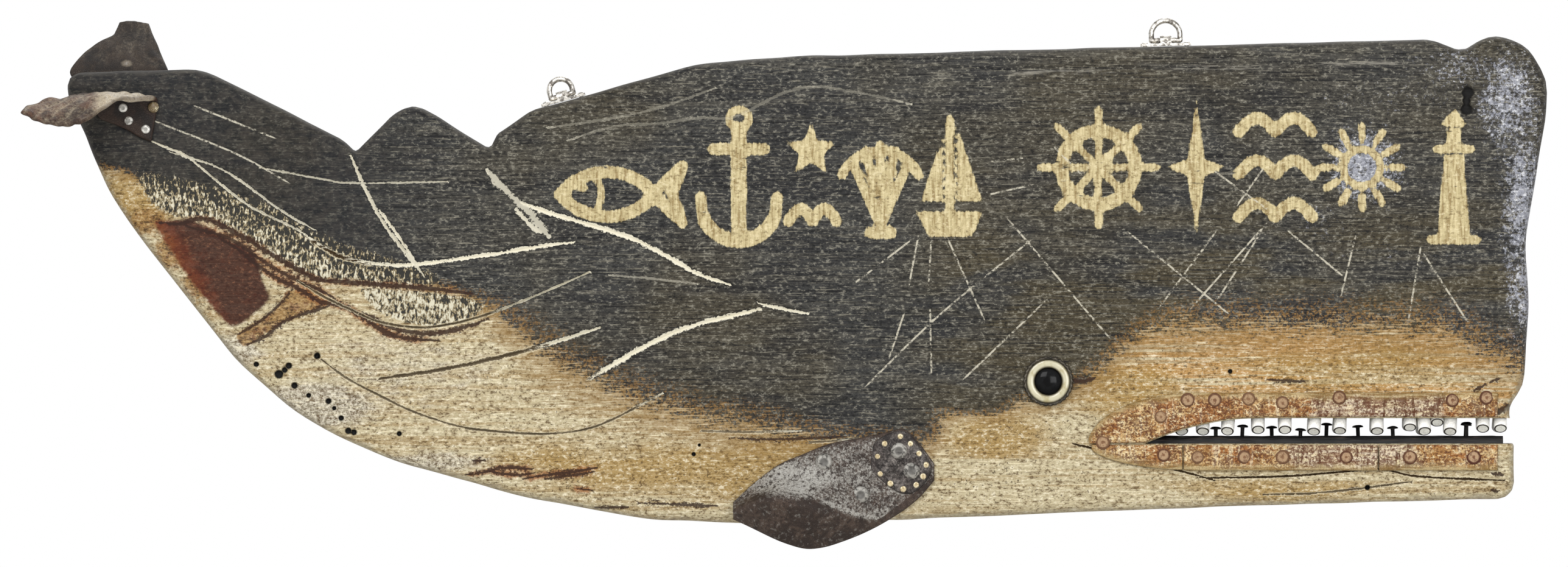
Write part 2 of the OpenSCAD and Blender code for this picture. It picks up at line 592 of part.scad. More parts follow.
whale_body();
jaw_strip();
upper_teeth();
lower_tooth_nails();
right_eye_rim();
right_eye_white();
right_eye_glass();
left_eye_rim();
left_eye_white();
left_eye_glass();
right_upper_lip();
right_lower_lip_rear();
right_lower_lip_middle();
right_lower_lip_front();
right_lip_tacks();
left_upper_lip();
left_lower_lip_rear();
left_lower_lip_middle();
left_lower_lip_front();
left_lip_tacks();
right_fin();
right_fin_patch();
right_fin_tacks();
right_fin_pins();
left_fin();
left_fin_patch();
left_fin_tacks();
left_fin_pins();
right_fluke();
left_fluke();
fluke_tacks();
fluke_peg();
front_hanger_plate();
front_hanger_clip();
front_hanger_ring();
front_hanger_screws();
rear_hanger_plate();
rear_hanger_clip();
rear_hanger_ring();
rear_hanger_screws();
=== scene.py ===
"""A hanging shop sign: a whale sawn from one plank, with leather fins, flukes and lips.

Places on the sign are layout millimetres, as a maker marks the plank: x from the tail end, z up from
the keel, and y through its thickness, with the right face at -y. A piece is worked out there and is
laid into the frame in metres when its mesh is made.
"""

import math
from types import SimpleNamespace

import bpy
import numpy as np
from bpy.props import FloatProperty, FloatVectorProperty, IntProperty, PointerProperty
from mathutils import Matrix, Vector
from mathutils.geometry import delaunay_2d_cdt


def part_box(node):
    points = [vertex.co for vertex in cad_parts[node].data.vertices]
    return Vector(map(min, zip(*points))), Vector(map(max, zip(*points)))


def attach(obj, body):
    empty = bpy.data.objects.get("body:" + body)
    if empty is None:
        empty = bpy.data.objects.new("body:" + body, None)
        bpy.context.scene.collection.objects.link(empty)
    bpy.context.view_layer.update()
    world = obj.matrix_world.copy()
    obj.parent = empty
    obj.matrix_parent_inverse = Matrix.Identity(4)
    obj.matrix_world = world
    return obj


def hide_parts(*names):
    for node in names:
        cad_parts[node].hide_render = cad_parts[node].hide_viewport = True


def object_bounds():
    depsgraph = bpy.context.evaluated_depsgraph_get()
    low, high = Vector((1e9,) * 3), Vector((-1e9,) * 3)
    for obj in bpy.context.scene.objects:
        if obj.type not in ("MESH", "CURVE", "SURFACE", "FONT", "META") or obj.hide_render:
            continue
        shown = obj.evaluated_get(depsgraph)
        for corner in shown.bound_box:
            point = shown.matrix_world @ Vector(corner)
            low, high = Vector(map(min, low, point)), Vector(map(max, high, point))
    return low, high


bl_info = {
    "name": "Whale Shop Sign",
    "version": (1, 0, 0),
    "blender": (4, 5, 0),
    "location": "View3D > Sidebar > Whale Sign",
    "description": "Dresses a hanging whale sign with painted wood, leather, glass and metal",
    "category": "Object",
}

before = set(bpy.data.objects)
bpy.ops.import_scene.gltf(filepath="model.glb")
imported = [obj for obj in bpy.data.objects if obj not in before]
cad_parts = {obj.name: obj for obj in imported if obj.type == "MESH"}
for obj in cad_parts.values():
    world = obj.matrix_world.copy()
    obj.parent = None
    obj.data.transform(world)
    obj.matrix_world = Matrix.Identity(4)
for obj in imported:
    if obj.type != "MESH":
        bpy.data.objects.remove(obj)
CAD_LOW, CAD_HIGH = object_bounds()

# The photograph's frame in pixels, and the size of one of its pixels on the sign's face
PHOTO_WIDE, PHOTO_HIGH = 2576, 931
MM_PER_PIXEL = 0.43

# The layout's own scale, and where its eye centre lies
MM = 0.001
EYE = (694.5, 101.0)
eye_low, eye_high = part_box("right_eye_glass")
ORIGIN = np.array([(eye_low.x + eye_high.x) / 2 - EYE[0] * MM, 0.0, (eye_low.z + eye_high.z) / 2 - EYE[1] * MM])
# Distance of the plank's faces from its middle
FACE = -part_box("whale_body")[0].y / MM
SIDES = ("right", "left")


def tone(red, green, blue):
    """Linear colour from its 0 to 255 screen values."""
    share = np.array([red, green, blue]) / 255
    return tuple(float(c) for c in np.where(share <= 0.04045, share / 12.92, ((share + 0.055) / 1.055) ** 2.4))


def colour(name, description, red, green, blue):
    """A colour property with that default."""
    return FloatVectorProperty(name=name, description=description, subtype="COLOR", size=3, min=0, max=1,
                               default=tone(red, green, blue))


def length(name, description, default, low, high):
    """A length property in metres."""
    return FloatProperty(name=name, description=description, default=default, min=low, max=high,
                         subtype="DISTANCE", unit="LENGTH", precision=4)


def power(name, description, default):
    """A property for a lamp's power."""
    return FloatProperty(name=name, description=description, default=default, min=0, unit="POWER")


class WhaleSignPaint(bpy.types.PropertyGroup):
    """Colours of the paint on the plank."""
    black: colour("Black", "Charcoal paint of the back", 52, 52, 51)
    brown: colour("Brown", "Warm tone that the charcoal turns to over the head", 66, 59, 43)
    cream: colour("Cream", "Paint of the belly and the jaws", 184, 172, 140)
    ochre: colour("Ochre", "Streaks where the varnish has yellowed", 150, 124, 78)
    ornament: colour("Ornament", "Paint of the brushed ornaments", 180, 165, 124)
    stain: colour("Stain", "Heart of the dark varnish stain on the tail", 52, 16, 9)
    rust: colour("Rust", "Orange brown round the stain and on the lips", 158, 98, 48)


class WhaleSignCarving(bpy.types.PropertyGroup):
    """Sizes of the carved plank's surface."""
    edge_round: length("Edge round", "Radius of the plank's rounded edge", 0.008, 0.003, 0.009)
    slot_round: length("Slot round", "Radius of the sawn edges of the mouth", 0.0012, 0.0004, 0.003)
    relief: length("Relief", "Depth of the hollows that the plane left", 0.0006, 0.0, 0.002)
    wear: length("Wear", "Depth to which the outline has been knocked back", 0.0008, 0.0, 0.002)
    groove: length("Groove depth", "Depth of the widest carved lines", 0.0018, 0.0, 0.004)
    scratch: length("Scratch depth", "Depth of the fine scored lines", 0.0005, 0.0, 0.002)
    bevel: length("Top bevel", "Fall of the planed band along the head's top edge", 0.0022, 0.0, 0.004)
    spacing: length("Mesh spacing", "Distance between the mesh points of a face", 0.0035, 0.002, 0.01)


class WhaleSignLeather(bpy.types.PropertyGroup):
    """Sizes of the leather pieces."""
    lip: length("Lip thickness", "Thickness of the lip leather", 0.0025, 0.001, 0.004)
    fin: length("Fin thickness", "Thickness of the fin leather", 0.003, 0.001, 0.005)
    patch: length("Patch thickness", "Thickness of the patch over a fin's root", 0.0022, 0.001, 0.004)
    fluke: length("Fluke thickness", "Thickness of the fluke leather", 0.0035, 0.001, 0.005)
    crease: length("Crease depth", "Depth of the creases in the flukes", 0.0016, 0.0, 0.004)


class WhaleSignStage(bpy.types.PropertyGroup):
    """Camera, floor and lights."""
    # From over 19 m the sign would lie past the clipping distance of views from other angles
    distance: length("Camera distance", "Distance of the camera from the sign's face", 16.0, 2.0, 18.0)
    floor_drop: length("Floor drop", "Height that the sign hangs over the floor", 0.06, 0.0, 2.0)
    key: power("Key light", "Power of the soft light over the left shoulder", 50)
    fill: power("Fill light", "Power of the soft light from the right", 30)
    rim: power("Rim light", "Power of the light from above and behind", 20)
    sky: FloatProperty(name="Room light", description="Strength of the even light of the room", default=0.5,
                       min=0)


class WhaleSignSettings(bpy.types.PropertyGroup):
    """All sizes and colours of the sign."""
    paint: PointerProperty(type=WhaleSignPaint)
    carving: PointerProperty(type=WhaleSignCarving)
    leather: PointerProperty(type=WhaleSignLeather)
    stage: PointerProperty(type=WhaleSignStage)
    seed: IntProperty(name="Seed", description="First number of the random draws", default=7, min=0)


def settings():
    """The sign's sizes and colours."""
    return bpy.context.scene.whale_sign


# Surfaces worked out as whole arrays


def unit(vectors):
    """Vectors of length one in the same directions."""
    return vectors / np.maximum(np.linalg.norm(vectors, axis=-1, keepdims=True), 1e-12)


def ease(value, low, high):
    """0 below low, 1 above high, and an S curve 3t^2 - 2t^3 between them."""
    t = np.clip((value - low) / (high - low), 0, 1)
    return t * t * (3 - 2 * t)


def rough(points, cell, seed):
    """Smooth random heights from -1 to 1: values on a box lattice of that cell size, blended in S curves."""
    table = np.random.default_rng(seed).uniform(-1, 1, (32, 32, 32))
    p = np.asarray(points, float) / cell
    base = np.floor(p).astype(int)
    share = ease(p - base, 0, 1)
    total = 0
    for corner in np.ndindex(2, 2, 2):
        weight = np.prod(np.where(corner, share, 1 - share), axis=-1)
        at = (base + corner) % 32
        total = total + weight * table[at[..., 0], at[..., 1], at[..., 2]]
    return total


def cells(index):
    """Four-cornered faces of a grid of point numbers."""
    return np.stack([index[:-1, :-1], index[:-1, 1:], index[1:, 1:], index[1:, :-1]], -1).reshape(-1, 4)


def round_cells(index):
    """Faces of a grid of point numbers whose rows close on themselves."""
    return cells(np.concatenate([index, index[:, :1]], 1))


def joined(shapes):
    """Points and faces of several shapes as one."""
    starts = np.cumsum([0] + [len(points) for points, _ in shapes]).tolist()
    faces = [[i + start for i in face] for start, (_, shape) in zip(starts, shapes) for face in shape]
    return np.concatenate([points for points, _ in shapes]), faces


def even(line, step):
    """Points a step apart, measured along a line of straight pieces."""
    line = np.asarray(line, float)
    along = np.concatenate([[0], np.cumsum(np.linalg.norm(np.diff(line, axis=0), axis=1))])
    at = np.linspace(0, along[-1], max(2, int(round(along[-1] / step)) + 1))
    return np.stack([np.interp(at, along, line[:, k]) for k in range(line.shape[1])], 1)


def flowing(points, step):
    """Points a step apart on a smooth line: in each span a cubic whose slopes come from the neighbours."""
    p = np.asarray(points, float)
    if len(p) < 3:
        return even(p, step)
    p = np.concatenate([[2 * p[0] - p[1]], p, [2 * p[-1] - p[-2]]])
    t = np.linspace(0, 1, 16, endpoint=False)[None, :, None]
    a, b, c, d = (p[k:len(p) - 3 + k, None] for k in range(4))
    spans = 0.5 * (2 * b + (c - a) * t + (2 * a - 5 * b + 4 * c - d) * t ** 2
                   + (3 * b - a - 3 * c + d) * t ** 3)
    return even(np.concatenate([spans.reshape(-1, 2), p[-2:-1]]), step)


def gap_to(points, line, closed=False):
    """Least distance from each point to a line of straight pieces, and the share of the line run there."""
    line = np.asarray(line, float)
    if closed:
        line = np.concatenate([line, line[:1]])
    start, run = line[:-1], np.diff(line, axis=0)
    size = np.maximum((run ** 2).sum(1), 1e-12)
    best, share = [], []
    for part in np.array_split(points, max(1, len(points) * len(run) // 2_000_000)):
        rel = part[:, None] - start
        t = np.clip((rel * run).sum(-1) / size, 0, 1)
        gap = np.linalg.norm(rel - t[..., None] * run, axis=-1)
        k = gap.argmin(1)
        row = np.arange(len(part))
        best.append(gap[row, k])
        share.append((k + t[row, k]) / len(run))
    return np.concatenate(best), np.concatenate(share)


def inside(points, ring):
    """True inside a closed line: a ray from there along +x crosses the line an odd number of times."""
    ring = np.asarray(ring, float)
    a, b = ring, np.roll(ring, -1, axis=0)
    odd = []
    for part in np.array_split(points, max(1, len(points) * len(ring) // 2_000_000)):
        x, z = part[:, :1], part[:, 1:]
        crosses = (a[:, 1] > z) != (b[:, 1] > z)
        rise = np.where(a[:, 1] == b[:, 1], 1, b[:, 1] - a[:, 1])
        odd.append((crosses & (x < a[:, 0] + (z - a[:, 1]) * (b[:, 0] - a[:, 0]) / rise)).sum(1) % 2 == 1)
    return np.concatenate(odd)


def depth_in(points, ring):
    """Distance into a closed line, negative outside it."""
    return np.where(inside(points, ring), 1, -1) * gap_to(points, ring, closed=True)[0]


def spread(count, ends=0.5):
    """Shares from 0 to 1 that crowd together at both ends: a blend of even steps with a cosine's."""
    even_steps = np.linspace(0, 1, count)
    return (1 - ends) * even_steps + ends * (0.5 - 0.5 * np.cos(np.pi * even_steps))


def loft(rows, down, along, soften):
    """Grid through rows of control points: straight between them, then each line of the grid is averaged with
    its neighbours again and again, so that its corners round off."""
    control = np.asarray(rows, float)
    v, u = spread(down) * (len(control) - 1), spread(along) * (control.shape[1] - 1)
    i, j = np.minimum(v.astype(int), len(control) - 2), np.minimum(u.astype(int), control.shape[1] - 2)
    f, g = (v - i)[:, None, None], (u - j)[None, :, None]
    upper = (1 - g) * control[i][:, j] + g * control[i][:, j + 1]
    lower = (1 - g) * control[i + 1][:, j] + g * control[i + 1][:, j + 1]
    grid = (1 - f) * upper + f * lower
    for _ in range(soften[0]):
        grid[1:-1] += 0.25 * (grid[:-2] - 2 * grid[1:-1] + grid[2:])
    for _ in range(soften[1]):
        grid[:, 1:-1] += 0.25 * (grid[:, :-2] - 2 * grid[:, 1:-1] + grid[:, 2:])
    return grid


def normals(grid):
    """Unit normals of a grid, from the differences along its columns and rows."""
    return unit(np.cross(np.gradient(grid, axis=0), np.gradient(grid, axis=1)))


def from_edge(grid):
    """Distance of each grid point from the nearest of the grid's four edges, along its lines."""
    def run(axis):
        steps = np.linalg.norm(np.diff(grid, axis=axis), axis=-1)
        start = np.concatenate([np.zeros_like(steps.take([0], axis)), np.cumsum(steps, axis)], axis)
        return np.minimum(start, steps.sum(axis, keepdims=True) - start)
    return np.minimum(run(0), run(1))


def leather(grid, thick, **marks):
    """Closed sheet: half the thickness to each side of a grid, along its normals, falling to nothing at the
    four edges in a quarter round. Returns points, faces and attributes: the marks given over the grid, and the
    rim, which is the distance from the border."""
    rim = from_edge(grid)
    m, n = grid.shape[:2]
    border = np.clip(rim / (thick / 2), 0, 1)
    half = (thick / 2 * np.sqrt(1 - (1 - border) ** 2))[..., None] * normals(grid)
    front = np.arange(m * n).reshape(m, n)
    back = front.copy()
    back[1:-1, 1:-1] = m * n + np.arange((m - 2) * (n - 2)).reshape(m - 2, n - 2)
    points = np.concatenate([(grid + half).reshape(-1, 3), (grid - half)[1:-1, 1:-1].reshape(-1, 3)])
    faces = np.concatenate([cells(front)[:, ::-1], cells(back)])
    source = np.concatenate([front.ravel(), front[1:-1, 1:-1].ravel()])
    return points, faces, {key: values.ravel()[source] for key, values in dict(marks, rim=rim).items()}


def turned(profile, around):
    """Points and faces of a closed shape turned about +z: rings of a profile of radius and height, whose first
    and last points lie on the axis."""
    profile = np.asarray(profile, float)
    angle = np.linspace(0, 2 * np.pi, around, endpoint=False)
    rings = profile[1:-1]
    points = np.stack([rings[:, :1] * np.cos(angle), rings[:, :1] * np.sin(angle),
                       np.repeat(rings[:, 1:], around, 1)], -1).reshape(-1, 3)
    index = np.arange(len(points)).reshape(len(rings), around)
    first, last = len(points), len(points) + 1
    points = np.concatenate([points, [[0, 0, profile[0, 1]], [0, 0, profile[-1, 1]]]])
    after = np.roll(index, -1, axis=1)
    fans = np.concatenate([np.stack([np.full(around, first), after[0], index[0]], 1),
                           np.stack([np.full(around, last), index[-1], after[-1]], 1)])
    return points, round_cells(index).tolist() + fans.tolist()


def studs(profile, places, out, sizes, seed, around=24, tilt=0.0, dent=0.0):
    """One turned shape at each place, its axis along out, each with its own size, spin, tilt and dents. Returns
    points, faces, each point's share of the radius, and a random tone for each shape."""
    rng = np.random.default_rng(seed)
    base, faces = turned(profile, around)
    places, sizes = np.asarray(places, float), np.asarray(sizes, float)
    count = len(places)
    axis = unit(np.broadcast_to(out, (count, 3)) + rng.normal(0, tilt, (count, 3)))
    side = unit(np.cross(axis, [0.3, 0.2, 0.93]))
    spin = rng.uniform(0, 2 * np.pi, count)[:, None]
    first = np.cos(spin) * side + np.sin(spin) * np.cross(axis, side)
    second = np.cross(axis, first)
    scaled = base * sizes[:, None, None]
    radius = np.linalg.norm(base[:, :2], axis=1) / np.abs(base[:, :2]).max()
    dents = dent * rough(scaled + 50.0 * np.arange(count)[:, None, None], 2.2, seed)
    points = (places[:, None] + scaled[..., :1] * first[:, None] + scaled[..., 1:2] * second[:, None]
              + (scaled[..., 2:] + dents[..., None] * (base[:, 2:] > 0)) * axis[:, None])
    shifted = [[i + len(base) * k for i in face] for k in range(count) for face in faces]
    return (points.reshape(-1, 3), shifted, np.tile(radius, count),
            np.repeat(rng.uniform(0, 1, count), len(base)))


# Meshes and objects


def piece(name, points, faces, finish_name, slot, node, attributes=None, sharp=None):
    """Object from layout points, in place of a CAD node: its mesh, attributes and material, and the body it
    rides on. A piece whose name starts with left is worked out on the right face and mirrored to the other."""
    points = np.asarray(points, float)
    faces = [list(f) for f in faces]
    if name.startswith("left_"):
        points = points * [1, -1, 1]
        faces = [f[::-1] for f in faces]
    mesh = bpy.data.meshes.new(name)
    mesh.from_pydata((points * MM + ORIGIN).tolist(), [], faces)
    for key, values in (attributes or {}).items():
        layer = mesh.attributes.new(key, "FLOAT", "POINT")
        layer.data.foreach_set("value", np.asarray(values, np.float32))
    mesh.shade_smooth()
    if sharp:
        mesh.set_sharp_from_angle(angle=math.radians(sharp))
    mesh.materials.append(finish(finish_name))
    obj = bpy.data.objects.new(name, mesh)
    bpy.context.scene.collection.objects.link(obj)
    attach(obj, "sign")
    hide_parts(node)


# Shader graphs


class Graph:
    """Adds nodes to one shader tree and joins them, so that a material reads as a list of steps."""

    def __init__(self, tree):
        self.tree = tree
        tree.nodes.clear()

    def node(self, kind, **values):
        """A node: values named for its settings are set, and others go to the sockets of that name."""
        made = self.tree.nodes.new("ShaderNode" + kind)
        for key, value in values.items():
            if hasattr(made, key):
                setattr(made, key, value)
        for key, value in values.items():
            if not hasattr(made, key):
                self.feed(made.inputs[key.replace("_", " ")], value)
        return made

    def feed(self, socket, value):
        """Joins an output to a socket, or holds the socket at a value."""
        if isinstance(value, bpy.types.NodeSocket):
            self.tree.links.new(value, socket)
        elif socket.type == "RGBA":
            socket.default_value = (*value[:3], 1)
        else:
            socket.default_value = value

    def math(self, operation, *values):
        """One sum, of outputs or numbers."""
        made = self.node("Math", operation=operation)
        for socket, value in zip(made.inputs, values):
            self.feed(socket, value)
        return made.outputs[0]

    def times(self, a, b):
        return self.math("MULTIPLY", a, b)

    def plus(self, a, b):
        return self.math("ADD", a, b)

    def sway(self, noise, amount):
        """A noise centred on 0 and stretched."""
        return self.times(self.plus(noise, -0.5), amount)

    def mix(self, factor, a, b):
        """Colour between two others, by a factor held between 0 and 1."""
        made = self.node("Mix", data_type="RGBA", clamp_factor=True)
        for k, value in ((0, factor), (6, a), (7, b)):
            self.feed(made.inputs[k], value)
        return made.outputs[2]

    def blend(self, factor, first, second):
        """Shader between two others."""
        made = self.node("MixShader")
        for socket, value in zip(made.inputs, (factor, first, second)):
            self.feed(socket, value)
        return made.outputs[0]

    def fade(self, value, low, high, start=0.0, end=1.0):
        """Start below low, end above high, and an S curve between them."""
        return self.node("MapRange", interpolation_type="SMOOTHSTEP", Value=value, From_Min=low, From_Max=high,
                         To_Min=start, To_Max=end).outputs[0]

    def metres(self):
        """Object coordinates."""
        return self.node("TexCoord").outputs["Object"]

    def place(self, x=1.0, y=1.0, z=1.0):
        """Object coordinates times a factor each way, which is a noise's number of cells to a metre there."""
        return self.node("Mapping", Vector=self.metres(), Scale=(x, y, z)).outputs[0]

    def noise(self, where, scale=1.0, detail=4.0, coarse=0.5, twist=0.0):
        """Smooth noise from 0 to 1, near 0.5 on the whole."""
        return self.node("TexNoise", Vector=where, Scale=scale, Detail=detail, Roughness=coarse,
                         Distortion=twist).outputs["Fac"]

    def cracks(self, where, scale):
        """Distance to the borders of random cells."""
        return self.node("TexVoronoi", feature="DISTANCE_TO_EDGE", Vector=where,
                         Scale=scale).outputs["Distance"]

    def attribute(self, name):
        """One of the mesh's own attributes."""
        return self.node("Attribute", attribute_name=name).outputs["Fac"]

    def seen(self):
        """1 for what the camera sees, also in a mirror or through glass, and 0 for the light that falls."""
        rays = self.node("LightPath").outputs
        bounced = self.math("MAXIMUM", rays["Is Glossy Ray"], rays["Is Transmission Ray"])
        return self.math("MAXIMUM", rays["Is Camera Ray"], bounced)

    def ragged(self, name, *noises, signed=False):
        """An attribute broken up by noises, each with its weight. A share stays 0 where it is 0."""
        value = share = self.attribute(name)
        for noise, weight in noises:
            value = self.plus(value, self.sway(noise, weight))
        return value if signed else self.times(value, self.fade(share, 0.0, 0.06))

    def coats(self, body, *layers):
        """Colours laid over one another, each where its mask runs from low to high, up to a strength."""
        for mask, low, high, strength, colour in layers:
            body = self.mix(self.fade(mask, low, high, 0.0, strength), body, colour)
        return body

    def group(self, name, **values):
        """Outputs of a shared group, its inputs fed by name."""
        made = self.node("Group", node_tree=shared(name))
        for key, value in values.items():
            self.feed(made.inputs[key], value)
        return made.outputs

    def close(self, colour, roughness, height=None, depth=0.0, **fixed):
        """Ends a material: its Principled shader, with a bump of that depth in metres."""
        shader = self.node("BsdfPrincipled", Base_Color=colour, Roughness=roughness, **fixed)
        if height is not None:
            bump = self.node("Bump", Strength=1.0, Distance=depth, Height=height)
            self.feed(shader.inputs["Normal"], bump.outputs[0])
        self.node("OutputMaterial", Surface=shader.outputs[0])


def streaks(g, given):
    """Long soft streaks and fine ones along x: noise whose cells are stretched the length of the plank."""
    def stretched(share):
        scale = g.node("CombineXYZ", X=g.times(given["Along"], share), Y=g.times(given["Across"], 0.5 * share),
                       Z=g.times(given["Across"], share))
        return g.node("Mapping", Vector=g.metres(), Scale=scale.outputs[0]).outputs[0]
    return {"Soft": g.noise(stretched(0.35), 1, 3, 0.5, 0.4), "Fine": g.noise(stretched(1), 1, 6, 0.62, 0.3)}


def speckle(g, given):
    """Scattered grains: fine noise above a height set by the given share, thicker where a slow one is high."""
    at = g.metres()
    fine = g.noise(at, g.math("DIVIDE", 1, given["Size"]), 3, 0.6)
    slow = g.noise(at, g.math("DIVIDE", 0.12, given["Size"]), 2, 0.5)
    cut = g.math("SUBTRACT", 0.75, g.times(given["Amount"], g.plus(slow, 0.1)))
    return {"Mask": g.fade(fine, cut, g.plus(cut, 0.06))}


def hide(g, given):
    """Leather: cell borders for the grain, slow folds, and rubbed high places."""
    at = g.metres()
    fine = g.cracks(at, g.math("DIVIDE", 1, given["Grain"]))
    folds = g.noise(at, g.math("DIVIDE", 0.08, given["Grain"]), 5, 0.6, 0.8)
    grain = g.fade(fine, 0.0, 0.16)
    return {"Height": g.plus(g.times(grain, 0.35), folds), "Grain": grain, "Folds": folds}


def tarnish(g, given):
    """Blotches of tarnish on metal and a fine brushed grain in its roughness."""
    at = g.metres()
    blotch = g.noise(at, g.math("DIVIDE", 1, given["Size"]), 5, 0.65, 0.5)
    fine = g.noise(at, g.math("DIVIDE", 6, given["Size"]), 3, 0.6)
    return {"Mask": g.fade(blotch, 0.42, 0.62), "Fine": fine}


# Shared groups: what builds each, its inputs and its outputs
SHARED = {
    "streaks": (streaks, ("Along", "Across"), ("Soft", "Fine")),
    "speckle": (speckle, ("Size", "Amount"), ("Mask",)),
    "hide": (hide, ("Grain",), ("Height", "Grain", "Folds")),
    "tarnish": (tarnish, ("Size",), ("Mask", "Fine")),
}


def shared(name):
    """The shader group of that name, made once."""
    if name in bpy.data.node_groups:
        return bpy.data.node_groups[name]
    build, inputs, outputs = SHARED[name]
    tree = bpy.data.node_groups.new(name, "ShaderNodeTree")
    for key in inputs:
        tree.interface.new_socket(name=key, in_out="INPUT", socket_type="NodeSocketFloat")
    for key in outputs:
        tree.interface.new_socket(name=key, in_out="OUTPUT", socket_type="NodeSocketFloat")
    g = Graph(tree)
    given = tree.nodes.new("NodeGroupInput").outputs
    result = tree.nodes.new("NodeGroupOutput")
    for key, value in build(g, given).items():
        g.feed(result.inputs[key], value)
    return tree


def finish(name):
    """The material of that name, made once."""
    if name not in bpy.data.materials:
        made = bpy.data.materials.new(name)
        made.use_nodes = True
        FINISHES[name](Graph(made.node_tree))
    return bpy.data.materials[name]


# Painted plank


def plank_noises(g):
    """The noises that the paint on the plank is worked out from."""
    grain = g.group("streaks", Along=14.0, Across=820.0)
    return SimpleNamespace(
        soft=grain["Soft"], fine=grain["Fine"], dash=g.group("streaks", Along=60.0, Across=900.0)["Fine"],
        slow=g.noise(g.place(), 6.0, 3, 0.5), broad=g.noise(g.place(9, 9, 40), 1, 4, 0.6),
        worn=g.noise(g.place(60, 60, 240), 1, 4, 0.6), wet=g.noise(g.place(), 130, 4, 0.65, 0.5),
        grit=g.noise(g.place(), 560, 3, 0.75), sand=g.noise(g.place(300, 300, 520), 1, 3, 0.75),
        dabs=g.noise(g.place(640, 340, 290), 1, 2, 0.6, 0.3), bristle=g.noise(g.place(560, 300, 70), 1, 4, 0.6))


def charcoal(g, n):
    """Black paint: warmer over the brow, streaked, darker on the tail, and paler on the planed band."""
    paint = settings().paint
    brow = g.times(g.attribute("brow"), g.fade(n.broad, 0.4, 0.58))
    black = g.mix(g.math("MAXIMUM", g.fade(n.slow, 0.45, 0.62, 0.0, 0.7), brow), paint.black, paint.brown)
    band = g.times(g.attribute("band"), g.fade(n.fine, 0.44, 0.58))
    # Painted highlight: a light line along the edge where the planed band meets the flank
    arris = g.times(g.attribute("arris"), g.fade(n.dash, 0.45, 0.56))
    return g.coats(
        black, (n.broad, 0.5, 0.34, 0.7, tone(32, 32, 34)), (n.soft, 0.48, 0.66, 0.3, tone(96, 92, 82)),
        (n.fine, 0.5, 0.36, 0.9, tone(12, 12, 13)), (n.dash, 0.54, 0.68, 0.62, tone(140, 135, 120)),
        (n.sand, 0.53, 0.68, 0.5, tone(156, 152, 138)), (n.sand, 0.47, 0.34, 0.8, tone(8, 8, 9)),
        (g.attribute("tail"), 0.0, 1.0, 0.66,
         g.mix(g.fade(n.wet, 0.4, 0.62), tone(18, 20, 24), tone(48, 45, 43))),
        (band, 0.0, 1.0, 0.12, tone(112, 110, 104)), (arris, 0.0, 1.0, 0.6, tone(140, 136, 126)))


def cream_paint(g, n):
    """Cream paint: streaked and yellowed, orange over the upper jaw, and worn to bare wood along the keel."""
    paint = settings().paint
    warm = g.times(g.attribute("warm"), g.fade(n.soft, 0.38, 0.56))
    yellowed = g.plus(g.attribute("yellowed"), g.sway(n.broad, 1.8))
    bare = g.ragged("bare", (n.worn, 0.8))
    bare_wood = g.mix(g.fade(n.grit, 0.42, 0.58), tone(104, 98, 88), tone(206, 200, 186))
    specks = g.group("speckle", Size=0.0018, Amount=0.2)["Mask"]
    return g.coats(
        paint.cream, (n.soft, 0.42, 0.64, 0.6, paint.ochre), (warm, 0.0, 1.0, 0.8, tone(180, 134, 72)),
        (n.dash, 0.52, 0.66, 0.6, tone(222, 212, 184)), (yellowed, 0.1, 0.8, 0.8, tone(154, 124, 66)),
        (n.wet, 0.54, 0.66, 0.3, tone(138, 116, 76)), (n.fine, 0.56, 0.68, 0.55, tone(112, 86, 48)),
        (n.dash, 0.42, 0.33, 0.6, tone(92, 72, 44)), (bare, 0.25, 0.7, 0.7, bare_wood),
        (n.dash, 0.55, 0.67, 0.45, tone(226, 212, 174)), (n.sand, 0.53, 0.67, 0.55, tone(240, 232, 208)),
        (n.sand, 0.48, 0.34, 0.85, tone(84, 62, 34)),
        (specks, 0.0, 1.0, 0.8, tone(64, 48, 30)))


def two_paints(g, n):
    """Share of cream at each place, and both paints, browned where they meet."""
    black, cream = charcoal(g, n), cream_paint(g, n)
    ragged = g.ragged("border", (n.dash, 3.0), (n.grit, 1.6), signed=True)
    on_belly = g.fade(ragged, -0.14, 0.14)
    cream = g.mix(g.fade(ragged, 1.6, 0.0, 0.0, 0.7), cream, tone(132, 102, 56))
    near = g.times(g.fade(ragged, -0.9, -0.1), g.fade(n.grit, 0.46, 0.58))
    black = g.mix(g.times(near, 0.75), black, tone(134, 100, 54))
    return on_belly, g.mix(on_belly, black, cream)


